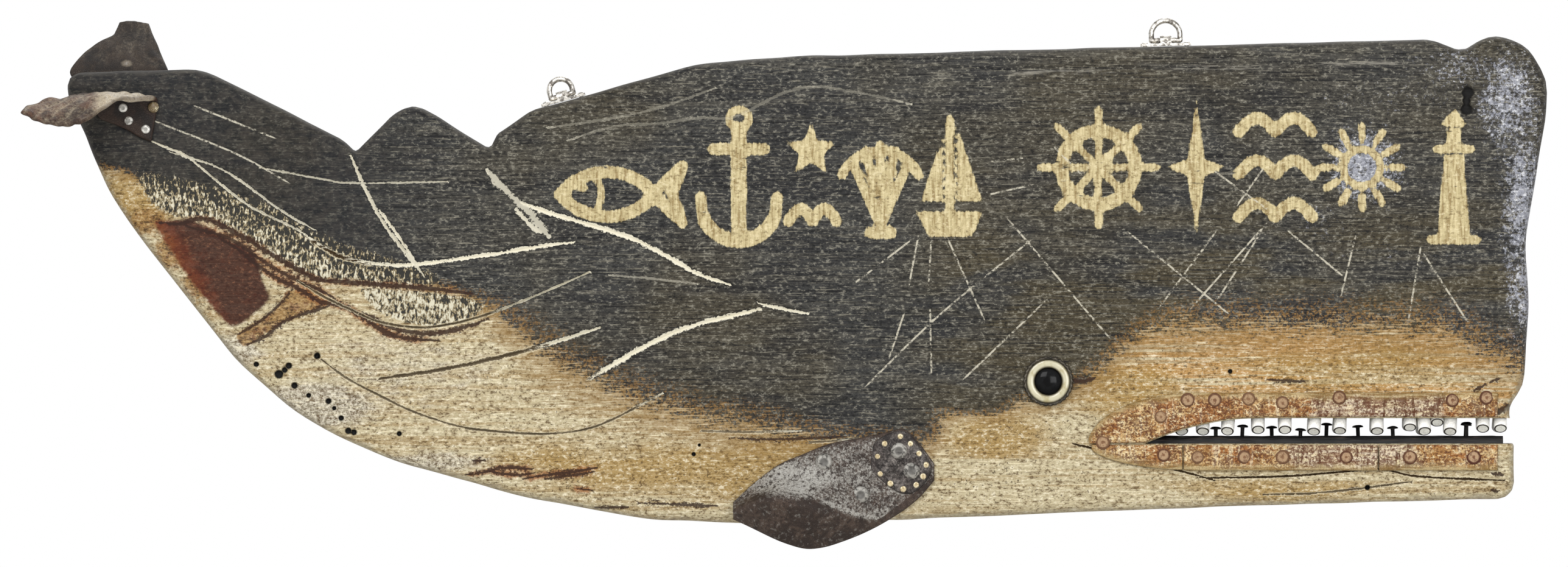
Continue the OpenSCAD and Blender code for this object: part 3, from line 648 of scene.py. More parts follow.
def tail_stains(g, n, body):
    """White and black dabs, amber, the dark red stain with its orange border, and thin dark marks."""
    lit = g.plus(g.plus(n.dabs, g.sway(n.sand, 0.3)), g.attribute("lit"))
    dabbed = g.coats(tone(46, 45, 41), (lit, 0.45, 0.53, 1.0, tone(146, 132, 102)),
                     (lit, 0.545, 0.62, 1.0, tone(206, 200, 178)))
    amber_tone = g.coats(tone(138, 104, 58), (n.wet, 0.5, 0.38, 0.9, tone(104, 58, 28)),
                         (n.sand, 0.5, 0.4, 0.85, tone(50, 30, 16)),
                         (n.sand, 0.54, 0.64, 0.5, tone(190, 164, 112)))
    glow_tone = g.coats(tone(140, 84, 44), (n.sand, 0.5, 0.38, 0.8, tone(66, 36, 20)),
                        (n.sand, 0.53, 0.64, 0.6, tone(188, 150, 98)))
    deep = g.plus(g.attribute("deep"), g.plus(g.sway(n.wet, 1.1), g.sway(n.sand, 0.8)))
    heart_tone = g.coats(tone(110, 66, 34), (deep, 0.0, 0.36, 1.0, tone(108, 56, 26)),
                         (deep, 0.36, 0.66, 1.0, tone(86, 34, 16)),
                         (deep, 0.62, 0.95, 1.0, settings().paint.stain),
                         (n.sand, 0.54, 0.68, 0.45, tone(128, 74, 42)),
                         (n.sand, 0.46, 0.36, 0.6, tone(34, 14, 9)))
    return g.coats(
        body, (g.ragged("dab", (n.grit, 2.2)), 0.35, 0.65, 1.0, dabbed),
        (g.ragged("amber", (n.wet, 0.9), (n.grit, 0.7)), 0.3, 0.75, 0.85, amber_tone),
        (g.ragged("glow", (n.wet, 1.2), (n.grit, 0.8)), 0.25, 0.9, 0.75, glow_tone),
        (g.ragged("stain", (n.wet, 0.7), (n.grit, 0.5)), 0.2, 0.7, 0.95, heart_tone),
        (g.ragged("mark", (n.grit, 1.8), (n.dash, 1.2)), 0.25, 0.5, 0.92, tone(44, 25, 17)))


def brushed(g, n, body):
    """Share of ornament at each place, and the paint with the brushed ornaments over it."""
    ornament = g.ragged("ornament", (n.bristle, 3.2), (n.grit, 2.4), signed=True)
    painted = g.times(g.fade(ornament, -0.4, 0.5), g.fade(n.worn, 0.74, 0.66))
    stroke = g.coats(
        settings().paint.ornament, (n.bristle, 0.5, 0.62, 0.6, tone(212, 198, 156)),
        (n.bristle, 0.48, 0.37, 0.7, tone(132, 110, 68)), (n.sand, 0.46, 0.33, 0.7, tone(108, 90, 56)),
        (n.sand, 0.54, 0.66, 0.5, tone(224, 212, 176)))
    return painted, g.mix(painted, body, stroke)


def cut_lines(g, n, body, on_belly):
    """Wear along the outline, and carved and scored lines, pale in the black paint and dark in the cream."""
    # Lighter along the outline: worn edges, and a painted highlight on the rounded edge
    worn_edge_and_highlight = g.fade(g.plus(g.attribute("edge"), g.sway(n.worn, 12)), 3.6, 0.8, 0.0, 0.5)
    body = g.mix(worn_edge_and_highlight, body, g.mix(on_belly, tone(72, 69, 64), tone(146, 138, 120)))

    groove = g.ragged("groove", (n.worn, 1.1), (n.grit, 1.7))
    # Painted shade and highlight: a dark border round each carved line in the black paint, and a light one in
    # the cream
    lip = g.times(g.fade(groove, 0.04, 0.22), g.attribute("pale"))
    body = g.mix(g.times(lip, 0.75), body, g.mix(on_belly, tone(20, 19, 18), tone(206, 194, 164)))
    carved = g.times(g.fade(groove, 0.4, 0.56), g.attribute("pale"))
    body = g.mix(carved, body, g.mix(on_belly, tone(218, 212, 192), tone(62, 48, 30)))
    kept = g.fade(g.plus(n.worn, g.sway(n.grit, 0.9)), 0.62, 0.44)
    scored = g.times(g.fade(g.attribute("scratch"), 0.35, 0.7), kept)
    return g.mix(g.times(scored, 0.85), body, g.mix(on_belly, tone(196, 190, 172), tone(104, 84, 54)))


def painted_reflections_and_holes(g, n, body, painted):
    """Silvery rubbed places, holes, and the dark walls of the mouth."""
    # Painted reflection: silvery speckle on the black paint where the reflection patches lie, kept off the
    # ornaments
    painted_reflection = g.times(g.fade(g.ragged("gloss", (n.grit, 2.4), (n.fine, 0.6), (n.wet, 1.4)), 0.42, 1.05),
                     g.fade(painted, 1.0, 0.2))
    painted_reflection_tone = g.coats(tone(152, 154, 163), (n.sand, 0.52, 0.64, 0.8, tone(226, 227, 232)),
                          (n.sand, 0.46, 0.36, 0.7, tone(84, 86, 96)))
    return g.coats(body, (painted_reflection, 0.0, 1.0, 0.85, painted_reflection_tone),
                   (g.attribute("pit"), 0.1, 0.7, 1.0, tone(10, 9, 8)),
                   (g.attribute("slot"), 0.0, 1.0, 1.0, tone(14, 13, 13)))


def plank_paint(g):
    """Charcoal over a cream belly, with streaks of the brush and the grain, stains, ornaments, carved lines and
    wear. Where each lies comes from the plank's own attributes, in millimetres or as shares."""
    n = plank_noises(g)
    on_belly, body = two_paints(g, n)
    painted, body = brushed(g, n, tail_stains(g, n, body))
    body = painted_reflections_and_holes(g, n, cut_lines(g, n, body, on_belly), painted)
    height = g.plus(g.times(n.fine, 0.4), g.plus(g.times(painted, 0.45), g.times(n.sand, 0.45)))
    height = g.plus(height, g.times(g.times(g.fade(n.dabs, 0.48, 0.58), g.attribute("dab")), 0.4))
    shine = g.fade(g.plus(g.attribute("gloss"), g.times(g.attribute("stain"), 0.4)), 0.0, 1.0, 0.6, 0.42)
    g.close(body, g.plus(shine, g.sway(n.fine, 0.25)), height, 0.0006, Specular_IOR_Level=0.16)


# Other finishes


def strip_paint(g):
    """Thick black paint, worn brown along its edges."""
    grain = g.group("streaks", Along=60.0, Across=700.0)
    body = g.mix(g.fade(grain["Fine"], 0.54, 0.7), tone(15, 14, 14), tone(58, 48, 42))
    g.close(body, g.fade(grain["Fine"], 0.3, 0.7, 0.35, 0.6), grain["Fine"], 0.0005, Specular_IOR_Level=0.3)


def tooth_paint(g):
    """White paint on wood pegs, dirty at the root, with a dark ring round a pale cut end."""
    dirt = g.group("speckle", Size=0.0012, Amount=0.35)["Mask"]
    along = g.attribute("run")
    # Painted shade: the pegs darken towards their roots under the upper jaw
    body = g.mix(g.fade(along, 0.3, 0.0), tone(252, 251, 246), tone(206, 196, 174))
    # Painted shade: a dark ring round the cut end
    body = g.mix(g.times(g.fade(along, 0.76, 0.83), g.fade(along, 0.98, 0.92)), body, tone(40, 35, 29))
    body = g.mix(g.fade(along, 0.91, 0.97), body, tone(250, 250, 242))
    body = g.mix(g.times(dirt, 0.2), body, tone(96, 84, 62))
    grain = g.noise(g.place(900, 900, 160), 1, 4, 0.6)
    g.close(body, g.fade(grain, 0.3, 0.7, 0.32, 0.55), grain, 0.0004)


def metal(dark, light, dull, bright, size=0.004, metallic=1.0):
    """Material builder for nails and tacks: a dark tarnish over a light worn metal, duller where it is
    tarnished, and dark at the middle of each head."""
    def build(g):
        parts = g.group("tarnish", Size=size)
        ringed = g.fade(g.attribute("radius"), 0.35, 0.75)
        blend = g.math("MAXIMUM", g.times(parts["Mask"], 0.9), g.math("SUBTRACT", 0.75, ringed))
        body = g.mix(blend, light, dark)
        body = g.mix(g.times(g.plus(g.attribute("tone"), -0.3), 0.4), body, dark)
        roughness = g.fade(parts["Mask"], 0, 1, bright, dull)
        roughness = g.plus(roughness, g.sway(parts["Fine"], 0.2))
        g.close(body, roughness, parts["Fine"], 0.00015, Metallic=metallic)
    return build


def plain_metal(dark, light, dull, bright, size, metallic=1.0):
    """Material builder for plated hardware: tarnish in blotches, with no ring about a centre."""
    def build(g):
        parts = g.group("tarnish", Size=size)
        body = g.mix(g.times(parts["Mask"], 0.8), light, dark)
        roughness = g.plus(g.fade(parts["Mask"], 0, 1, bright, dull), g.sway(parts["Fine"], 0.15))
        g.close(body, roughness, parts["Fine"], 0.00012, Metallic=metallic)
    return build


def hide_finish(dark, mid, light, grain, sheen_and_rub_amount=1.0, contrast=0.5, rim_tone=None):
    """Material builder for leather: dark in its folds, rubbed light and gritty on its high places."""
    def build(g):
        parts = g.group("hide", Grain=grain)
        grit = g.noise(g.place(), 0.8 / grain, 4, 0.75)
        body = g.mix(g.fade(parts["Folds"], 0.38, 0.62), dark, mid)
        body = g.mix(g.times(g.fade(parts["Grain"], 0.8, 0.1), 0.5), body, dark)
        rub = g.times(g.attribute("rub"), sheen_and_rub_amount)
        ragged = g.plus(rub, g.sway(grit, 2.4 * contrast))
        body = g.mix(g.times(g.fade(ragged, 0.05, 0.95), g.fade(rub, 0, 0.12)), body, light)
        body = g.mix(g.times(g.fade(ragged, 1.0, 1.4), 0.5), body, tone(216, 215, 210))
        body = g.mix(g.times(g.fade(grit, 0.44, 0.3), 0.6), body, dark)
        clump = g.noise(g.place(), 0.42 / grain, 3, 0.7)
        body = g.coats(body, (clump, 0.5, 0.34, 0.7 * contrast, dark),
                       (clump, 0.54, 0.7, 0.22 * contrast, light))
        body = g.mix(g.fade(rub, 0.0, -0.3, 0.0, 0.8), body, tone(20, 17, 16))
        edge = g.fade(g.attribute("rim"), 2.0, 0.2)
        body = g.mix(g.times(edge, 0.5), body, rim_tone or light)
        roughness = g.fade(rub, 0, 1, 0.62, 0.42)
        g.close(body, roughness, g.plus(parts["Height"], g.times(grit, 0.4)), 0.0005, Specular_IOR_Level=0.3)
    return build


def lip_finish(g):
    """Leather painted over with the jaw: tan and orange brown, pinkish grey and wrinkled where its attribute
    says so, and blended into the paint of the wood along its outer edge."""
    paint = settings().paint
    parts = g.group("hide", Grain=0.0016)
    blotch = g.noise(g.place(34, 60, 70), 1, 5, 0.65, 0.6)
    patchy = g.noise(g.place(90, 100, 140), 1, 5, 0.7, 0.5)
    wrinkle = g.noise(g.place(330, 100, 46), 1, 3, 0.6)
    streak = g.group("streaks", Along=40.0, Across=420.0)["Fine"]
    grey = g.fade(g.plus(g.attribute("grey"), g.sway(patchy, 1.6)), 0.25, 0.75)
    lines = g.times(g.fade(wrinkle, 0.54, 0.62), g.fade(grey, 0, 1, 0.35, 0.9))
    sand = g.noise(g.place(300, 300, 520), 1, 3, 0.75)
    body = g.coats(
        tone(168, 122, 68), (patchy, 0.42, 0.56, 1.0, tone(206, 172, 120)),
        (blotch, 0.5, 0.4, 0.75, paint.rust), (patchy, 0.56, 0.64, 0.7, tone(216, 194, 150)),
        (grey, 0.0, 1.0, 0.75, g.mix(g.fade(streak, 0.44, 0.58), tone(150, 128, 108), tone(216, 204, 184))),
        (lines, 0.0, 1.0, 1.0, tone(98, 66, 46)), (wrinkle, 0.43, 0.36, 0.5, tone(222, 208, 178)),
        (sand, 0.52, 0.65, 0.8, tone(236, 220, 180)), (sand, 0.48, 0.35, 0.85, tone(88, 48, 24)),
        (g.group("speckle", Size=0.0016, Amount=0.42)["Mask"], 0.0, 1.0, 0.8, tone(92, 50, 28)))
    blend = g.plus(g.attribute("outer"), g.sway(patchy, 12))
    body = g.mix(g.times(g.fade(blend, 6.5, 0.5), 0.85), body,
                 g.mix(g.fade(streak, 0.42, 0.6), tone(140, 112, 64), tone(192, 172, 128)))
    height = g.plus(parts["Height"], g.times(g.fade(wrinkle, 0.5, 0.66), -0.8))
    g.close(body, g.fade(blotch, 0.3, 0.7, 0.65, 0.5), height, 0.0007, Specular_IOR_Level=0.25)


def tack_copper(g):
    """Flat copper tack, painted over with the lip: a dark reddish rim, a tan middle and a darker dent."""
    radius = g.attribute("radius")
    grit = g.noise(g.place(), 520, 3, 0.7)
    worn = g.plus(radius, g.sway(grit, 0.5))
    body = g.mix(g.fade(worn, 0.15, 0.32), tone(116, 80, 58), tone(168, 140, 110))
    body = g.coats(body, (worn, 0.62, 0.8, 1.0, tone(76, 42, 31)), (grit, 0.5, 0.38, 0.7, tone(92, 58, 42)))
    body = g.mix(g.times(g.attribute("tone"), 0.35), body, tone(150, 120, 86))
    g.close(body, 0.75, grit, 0.0003, Specular_IOR_Level=0.2)


def eye_white_finish(g):
    """Glazed white ring, yellowed in patches and dirty where it meets the rim and the glass."""
    patch = g.noise(g.place(), 160, 4, 0.6)
    body = g.mix(g.fade(patch, 0.45, 0.7), tone(196, 190, 162), tone(166, 154, 112))
    # Painted shade: the sloping sides of the round crown darken towards the rim and the glass
    dirt = g.fade(g.attribute("dirt"), 0.4, 0.95)
    body = g.mix(g.times(dirt, 0.85), body, tone(60, 50, 34))
    g.close(body, 0.22, patch, 0.0002, Coat_Weight=0.4)


def eye_glass_finish(g):
    """Black glass with a faint smoky iris and a black pupil."""
    radius = g.attribute("radius")
    cloud = g.noise(g.place(), 300, 3, 0.6)
    iris = g.times(g.fade(radius, 0.3, 0.45), g.fade(radius, 0.95, 0.6))
    body = g.mix(g.times(iris, g.fade(cloud, 0.3, 0.8, 0.3, 1.0)), tone(5, 5, 6), tone(20, 21, 22))
    g.close(body, g.fade(cloud, 0.3, 0.7, 0.12, 0.2), cloud, 0.00002, Specular_IOR_Level=0.1, Coat_Weight=0.03)


def peg_finish(g):
    """Bone with fine pores."""
    pores = g.group("speckle", Size=0.0006, Amount=0.6)["Mask"]
    slow = g.noise(g.place(), 220, 4, 0.6)
    body = g.mix(g.fade(slow, 0.4, 0.6), tone(230, 222, 188), tone(196, 176, 130))
    body = g.mix(pores, body, tone(96, 80, 54))
    g.close(body, g.fade(slow, 0.3, 0.7, 0.35, 0.5), pores, 0.0001)


def floor_finish(g):
    """Pale floor: near the sign it takes its shadow, and far out it is as white to the camera as the room."""
    far = g.node("VectorMath", operation="LENGTH")
    g.feed(far.inputs[0], g.metres())
    pale = g.mix(g.noise(g.place(), 30, 3, 0.5), tone(238, 237, 234), tone(232, 231, 228))
    matt = g.node("BsdfPrincipled", Base_Color=pale, Roughness=0.9)
    white = g.node("Emission", Color=(1, 1, 1), Strength=1.0)
    share = g.times(g.seen(), g.fade(far.outputs["Value"], 0.75, 1.5))
    g.node("OutputMaterial", Surface=g.blend(share, matt.outputs[0], white.outputs[0]))


FINISHES = {
    "plank paint": plank_paint,
    "strip paint": strip_paint,
    "tooth paint": tooth_paint,
    "black iron": metal(tone(14, 13, 13), tone(58, 56, 54), 0.6, 0.36),
    "upholstery iron": metal(tone(36, 33, 31), tone(158, 155, 148), 0.6, 0.45, 0.003, 0.3),
    "pale iron": metal(tone(112, 110, 104), tone(232, 230, 224), 0.55, 0.4, 0.003, 0.2),
    "tack copper": tack_copper,
    "pin brass": metal(tone(150, 128, 84), tone(246, 234, 200), 0.5, 0.35, 0.002, 0.35),
    "crimped tin": plain_metal(tone(18, 16, 14), tone(84, 78, 68), 0.6, 0.4, 0.004, 0.6),
    "nickel": plain_metal(tone(52, 42, 34), tone(206, 202, 194), 0.5, 0.2, 0.003),
    "fin leather": hide_finish(tone(44, 34, 29), tone(78, 64, 55), tone(168, 165, 158), 0.0013, 1.0, 1.4,
                               tone(60, 48, 40)),
    "patch leather": hide_finish(tone(30, 26, 25), tone(66, 58, 55), tone(156, 148, 142), 0.0011, 0.8, 0.8,
                                 tone(34, 30, 28)),
    "fluke leather": hide_finish(tone(44, 30, 24), tone(104, 76, 60), tone(180, 166, 142), 0.0015, 0.8, 0.55,
                                 tone(58, 42, 34)),
    "far fluke leather": hide_finish(tone(28, 23, 20), tone(56, 46, 38), tone(118, 108, 94), 0.0015, 0.5, 0.5,
                                     tone(14, 13, 12)),
    "lip leather": lip_finish,
    "eye white": eye_white_finish,
    "eye glass": eye_glass_finish,
    "peg bone": peg_finish,
    "floor": floor_finish,
}

# What is painted and carved on the plank, in layout millimetres

# Lower edge of the black paint from the tail to the brow; the cream lies below it
PAINT_EDGE = [(2, 262), (25, 252), (77, 240), (112, 230), (151, 212), (186, 195), (213, 184), (263, 170),
              (300, 153), (325, 132), (347, 117), (372, 103), (402, 90), (446, 76), (495, 68), (540, 61),
              (600, 58), (616, 60), (621, 76), (656, 78), (680, 88), (704, 92), (728, 106), (749, 127),
              (774, 138), (823, 140), (897, 140), (971, 137), (1003, 124), (1030, 110), (1060, 92)]
# Carved lines: width, depth as a share of the groove depth, how pale the wood in them is, and their points
CARVED = [
    (3.0, 0.8, 0.8, [(202, 260), (212, 237), (226, 211), (253, 176)]),
    (2.4, 0.7, 0.9, [(222, 222), (237, 201), (250, 181)]),
    (5.5, 0.6, 0.6, [(298, 250), (311, 236), (326, 222), (342, 203)]),
    (3.6, 0.5, 0.8, [(318, 223), (328, 212), (336, 206)]),
    (3.8, 0.9, 1.0, [(322, 227), (345, 219), (369, 212), (400, 202), (424, 190), (447, 177), (470, 169)]),
    (2.0, 0.7, 0.8, [(60, 271), (74, 265), (87, 259), (127, 227), (166, 207), (176, 197)]),
    (3.4, 0.8, 1.0, [(166, 207), (182, 196), (201, 187), (238, 183), (290, 189), (341, 197), (359, 199)]),
    (2.0, 0.5, 0.7, [(74, 263), (112, 250), (152, 222), (176, 208)]),
    (1.8, 0.5, 0.6, [(137, 252), (181, 244), (203, 241), (270, 242)]),
    (2.0, 1.0, 0.8, [(164, 172), (184, 160), (201, 152), (222, 143), (250, 139), (275, 142), (300, 149),
                     (336, 163), (370, 178)]),
    (3.2, 1.0, 0.9, [(223, 103), (275, 111), (330, 124), (378, 139)]),
    (2.0, 0.8, 0.8, [(178, 119), (188, 111), (201, 102), (222, 91), (245, 80), (275, 70), (300, 66), (342, 64),
                     (377, 70), (421, 92)]),
    (4.4, 1.0, 1.0, [(371, 103), (396, 118), (420, 131), (446, 141), (491, 152)]),
    (3.0, 0.6, 0.9, [(490, 156), (508, 152), (524, 149)]),
    (2.0, 0.8, 1.0, [(712, 57), (740, 50), (759, 45), (787, 38), (812, 31)]),
    (2.0, 0.8, 1.0, [(800, 33), (818, 33), (863, 34), (901, 37), (929, 39), (954, 34), (992, 32), (1016, 31)]),
    (1.8, 0.7, 0.8, [(846, 21), (882, 22), (920, 26), (950, 30)]),
    (2.4, 0.2, 0.16, [(341, 280), (369, 284), (398, 289), (419, 294), (440, 301), (459, 308)]),
    (2.4, 0.2, 0.14, [(355, 271), (388, 281), (419, 283), (447, 287), (473, 288), (506, 304), (530, 309),
                      (565, 304), (596, 297)]),
    (2.0, 0.2, 0.25, [(384, 176), (410, 174), (446, 170)]),
    (1.8, 0.4, 0.7, [(450, 66), (480, 65), (520, 66)]),
    (1.8, 0.4, 0.8, [(526, 58), (545, 59), (560, 61)]),
]
# Fine scored lines
SCORED = [[(556, 169), (598, 201)], [(603, 205), (596, 168)], [(612, 205), (610, 168)],
          [(622, 205), (650, 143)], [(593, 150), (582, 117)], [(611, 153), (612, 106)],
          [(685, 203), (619, 149), (563, 95)], [(664, 218), (740, 129)], [(695, 160), (633, 101)],
          [(749, 208), (824, 147)], [(814, 208), (772, 152)], [(850, 214), (794, 151)],
          [(846, 208), (813, 157)], [(863, 208), (903, 175)], [(912, 205), (901, 160)],
          [(958, 198), (949, 144)], [(959, 192), (992, 141)], [(811, 250), (850, 222)],
          [(847, 252), (827, 224)], [(698, 267), (719, 246)], [(653, 256), (680, 259)],
          [(653, 233), (685, 240)], [(60, 286), (120, 262), (160, 240)], [(90, 296), (150, 272)]]
# Heart of the dark varnish stain on the tail, its arm, and where the border is dabbed white and black
STAIN = [(64, 213), (89, 214), (112, 202), (131, 192), (137, 180), (139, 171), (143, 160), (133, 150),
         (119, 140), (108, 150), (99, 161), (89, 173), (79, 188), (70, 202)]
ARM = [(156, 165), (179, 165), (186, 156), (170, 150), (154, 142), (139, 133), (129, 126), (121, 133),
       (135, 143), (149, 152)]
DABBED = [[(52, 246), (90, 240), (117, 232), (144, 223), (163, 211), (183, 201), (202, 193), (228, 186),
           (262, 173), (240, 170), (202, 173), (173, 176), (154, 186), (125, 205), (100, 217), (70, 222)],
          [(208, 166), (228, 166), (262, 163), (282, 160), (296, 154), (284, 145), (262, 140), (240, 143),
           (220, 152)]]
# Dark marks: half width, strength, strength of the orange round them, and points
MARKS = [(1.6, 1.0, 0.6, [(67, 213), (80, 212), (89, 215), (101, 215), (112, 210), (129, 201), (145, 191),
                          (162, 181), (179, 173), (200, 171), (223, 169), (252, 167), (287, 163)]),
         (1.3, 0.95, 0.8,
          [(87, 210), (104, 206), (120, 200), (135, 189), (151, 179), (166, 171), (179, 166), (191, 159)]),
         (1.5, 0.9, 0.8,
          [(112, 200), (124, 193), (137, 182), (151, 173), (164, 167), (179, 158), (199, 153), (212, 145),
           (227, 135), (245, 131), (263, 130)]),
         (1.4, 1.0, 0.4, [(210, 150), (233, 138), (260, 135), (285, 140), (298, 145)]),
         (1.7, 0.75, 0.9, [(188, 158), (204, 150), (218, 141), (232, 134)]),
         (1.2, 0.8, 0.3, [(160, 165), (151, 155), (137, 143), (122, 134)]),
         (1.2, 0.9, 0.3, [(186, 154), (170, 149), (154, 143), (142, 133), (129, 127)]),
         (1.0, 1.0, 0.6, [(288, 45), (295, 45)]), (1.0, 1.0, 0.8, [(283, 35), (296, 37), (310, 40), (330, 39)]),
         (0.9, 0.9, 0.9, [(300, 37), (318, 35), (330, 36)]),
         (1.0, 0.95, 0.9, [(323, 32), (340, 35), (358, 37), (376, 40)]),
         (0.9, 0.9, 0.7, [(340, 32), (360, 35), (374, 37)]), (0.7, 0.5, 0.9, [(358, 26), (372, 24)]),
         (0.9, 0.8, 0.2, [(374, 12), (398, 12)]), (0.9, 0.8, 0.2, [(406, 15), (461, 13)]),
         (1.4, 1.0, 0, [(711, 102), (718, 101), (727, 103)]), (1.3, 0.9, 0, [(1008, 36), (1016, 35)]),
         (1.2, 0.9, 0, [(1008, 24), (1013, 24)]), (2.2, 1.0, 0, [(1008, 78), (1022, 84)]),
         (1.0, 0.9, 0, [(850, 102), (876, 101)]), (1.2, 1.0, 0, [(996, 95), (1002, 98)]),
         (1.2, 1.0, 0, [(1008, 101), (1013, 103)]), (1.8, 0.7, 0, [(908, 25), (914, 25)]),
         (0.9, 0.75, 0, [(470, 61), (500, 60), (530, 61), (552, 62)])]
# Small holes: place and radius
HOLES = [(178, 119, 2.2), (151, 106, 3.0), (155, 109, 2.0), (158, 112, 2.2), (162, 98, 2.2), (172, 91, 1.6),
         (186, 87, 2.0), (190, 82, 1.4), (195, 75, 1.8), (200, 66, 2.2), (204, 65, 2.0), (135, 113, 1.8),
         (236, 64, 1.7), (991, 305, 4.2), (990, 299, 2.8), (990, 293, 4.0), (823, 108, 1.5), (444, 49.5, 1.4),
         (448, 56, 1.0), (920, 26, 1.8)]
# Places of painted silvery reflection, which are also glossier, then yellowed and bare places: centre, half
# width along and up, and strength
GLOSS_AND_REFLECTION = [((917, 254), (34, 34), 0.95), ((1020, 300), (30, 48), 0.82), ((1032, 225), (24, 76), 0.84),
         ((1036, 165), (26, 54), 0.8), ((985, 322), (50, 20), 0.5), ((885, 215), (22, 18), 0.4),
         ((940, 300), (70, 14), 0.3), ((930, 190), (90, 10), 0.22)]
YELLOWED = [((400, 42), (120, 26), 0.7), ((480, 35), (60, 22), 0.8), ((660, 62), (50, 22), 0.8),
            ((760, 95), (60, 26), 0.8), ((870, 105), (150, 24), 0.55), ((50, 232), (44, 26), 1.0),
            ((960, 112), (70, 20), 0.6), ((860, 24), (140, 10), 0.5), ((520, 52), (70, 12), 0.7),
            ((300, 150), (60, 16), 0.3)]
BARE = [((178, 84), (60, 22), 0.9), ((235, 108), (120, 46), 0.42), ((120, 122), (30, 18), 0.7),
        ((260, 44), (60, 12), 0.6)]
AMBER = [((58, 214), (22, 15), 0.8), ((76, 192), (20, 20), 0.85), ((92, 170), (16, 20), 0.75),
         ((106, 150), (12, 14), 0.5)]
# Mouth: corner, height of the opening and length over which it opens, as in the sawn plank
MOUTH_X, MOUTH_Z, MOUTH_GAP, MOUTH_TAPER = 763, 57, 18, 82
# Front end of the lips, and height and width of the strip along the lower jaw
LIP_FRONT = 1012
STRIP_HIGH, STRIP_WIDE = 5.5, 30


def arc(x, z, radius, start, end, step=12):
    """Points on part of a circle, by its angles in degrees."""
    angle = np.radians(np.linspace(start, end, max(3, int(abs(end - start) / step) + 1)))
    return np.stack([x + radius * np.cos(angle), z + radius * np.sin(angle)], 1)


def star(points, outer, inner, turn=90):
    """Corners of a star: outer and inner radius by turns."""
    angle = np.radians(turn + np.arange(2 * points) * 180 / points)
    radius = np.where(np.arange(2 * points) % 2, inner, outer)
    return np.stack([radius * np.cos(angle), radius * np.sin(angle)], 1)


def swell(half, high, crests):
    """A line of rolling waves: the size of a sine, so that its crests are round and its troughs sharp."""
    x = np.linspace(-half, half, 12 * crests + 1)
    return np.stack([x, high * np.abs(np.sin((x + half) / (2 * half) * np.pi * crests))], 1)


def rays(count, start, end):
    """Strokes that stand out from a centre at even angles, between two radii."""
    angles = np.arange(count) * math.pi / (count / 2)
    return [(5.5, np.outer([start, end], [math.cos(a), math.sin(a)])) for a in angles]


def ornaments():
    """Brushed ornaments on the flank: centre, then strokes of a width, or filled outlines with a width of 0."""
    fish = [(9, arc(-10, -27, 43, 39, 141)), (9, arc(-10, 27, 43, -39, -141)),
            (8, [(22, 0), (43, 20), (36, 0), (43, -20), (22, 0)]), (7, [(-28, 5), (-27, 5)]),
            (5, arc(-30, 0, 16, -38, 38))]
    anchor = [(5.5, arc(0, 43, 7, 0, 360)), (11, [(0, 36), (0, -42)]), (8.5, [(-18, 22), (18, 22)]),
              (10, arc(0, -16, 27, 205, 335)), (8, [(-27, -12), (-25, -30)]), (8, [(27, -12), (25, -30)])]
    shell = [(6.5, [(0, -30), (x, z)]) for x, z in ((-19, 14), (-10, 24), (0, 28), (10, 24), (19, 14))]
    shell += [(7, arc(0, -6, 30, 25, 155)), (9, [(-7, -34), (7, -34)])]
    boat = [(6, [(0, -20), (0, 46)]), (0, [(5, 42), (5, -12), (23, -12)]),
            (0, [(-5, 34), (-5, -12), (-21, -12)]), (0, [(-24, -19), (24, -19), (15, -37), (-15, -37)])]
    tower = [(0, [(-12, -46), (12, -46), (7, 14), (-7, 14)]), (6, [(-12, 18), (12, 18)]),
             (0, [(-5, 20), (5, 20), (5, 33), (-5, 33)]), (0, [(-10, 34), (10, 34), (0, 47)]),
             (7, [(-16, -46), (16, -46)])]
    return [((393, 233), fish), ((476, 243), anchor), ((527, 264), [(0, star(5, 20, 8.5))]),
            ((528, 214), [(8, swell(17, 9, 2))]), ((576, 240), shell), ((625, 240), boat),
            ((730, 252), [(9.5, arc(0, 0, 26, 0, 360)), (13, [(-1, 0), (1, 0)])] + rays(8, 7, 41)),
            ((799, 252), [(0, [(0, 50), (6, 6), (21, 0), (6, -6), (0, -50), (-6, -6), (-21, 0), (-6, 6)])]),
            ((855, 277), [(8.5, swell(26, 10, 2))]), ((855, 247), [(8.5, swell(26, 10, 2))]),
            ((855, 217), [(8.5, swell(26, 10, 2))]),
            ((916, 252), [(5.5, arc(0, 0, 13, 0, 360))] + rays(12, 20, 29)), ((981, 247), tower)]


def ornament_depth(points):
    """Distance into the nearest brushed ornament, negative outside it."""
    depth = np.full(len(points), -12.0)
    for centre, strokes in ornaments():
        near = np.abs(points - centre).max(1) < 70
        local = points[near] - centre
        for width, line in strokes:
            found = width / 2 - gap_to(local, line)[0] if width else depth_in(local, np.asarray(line, float))
            depth[near] = np.maximum(depth[near], found)
    return depth


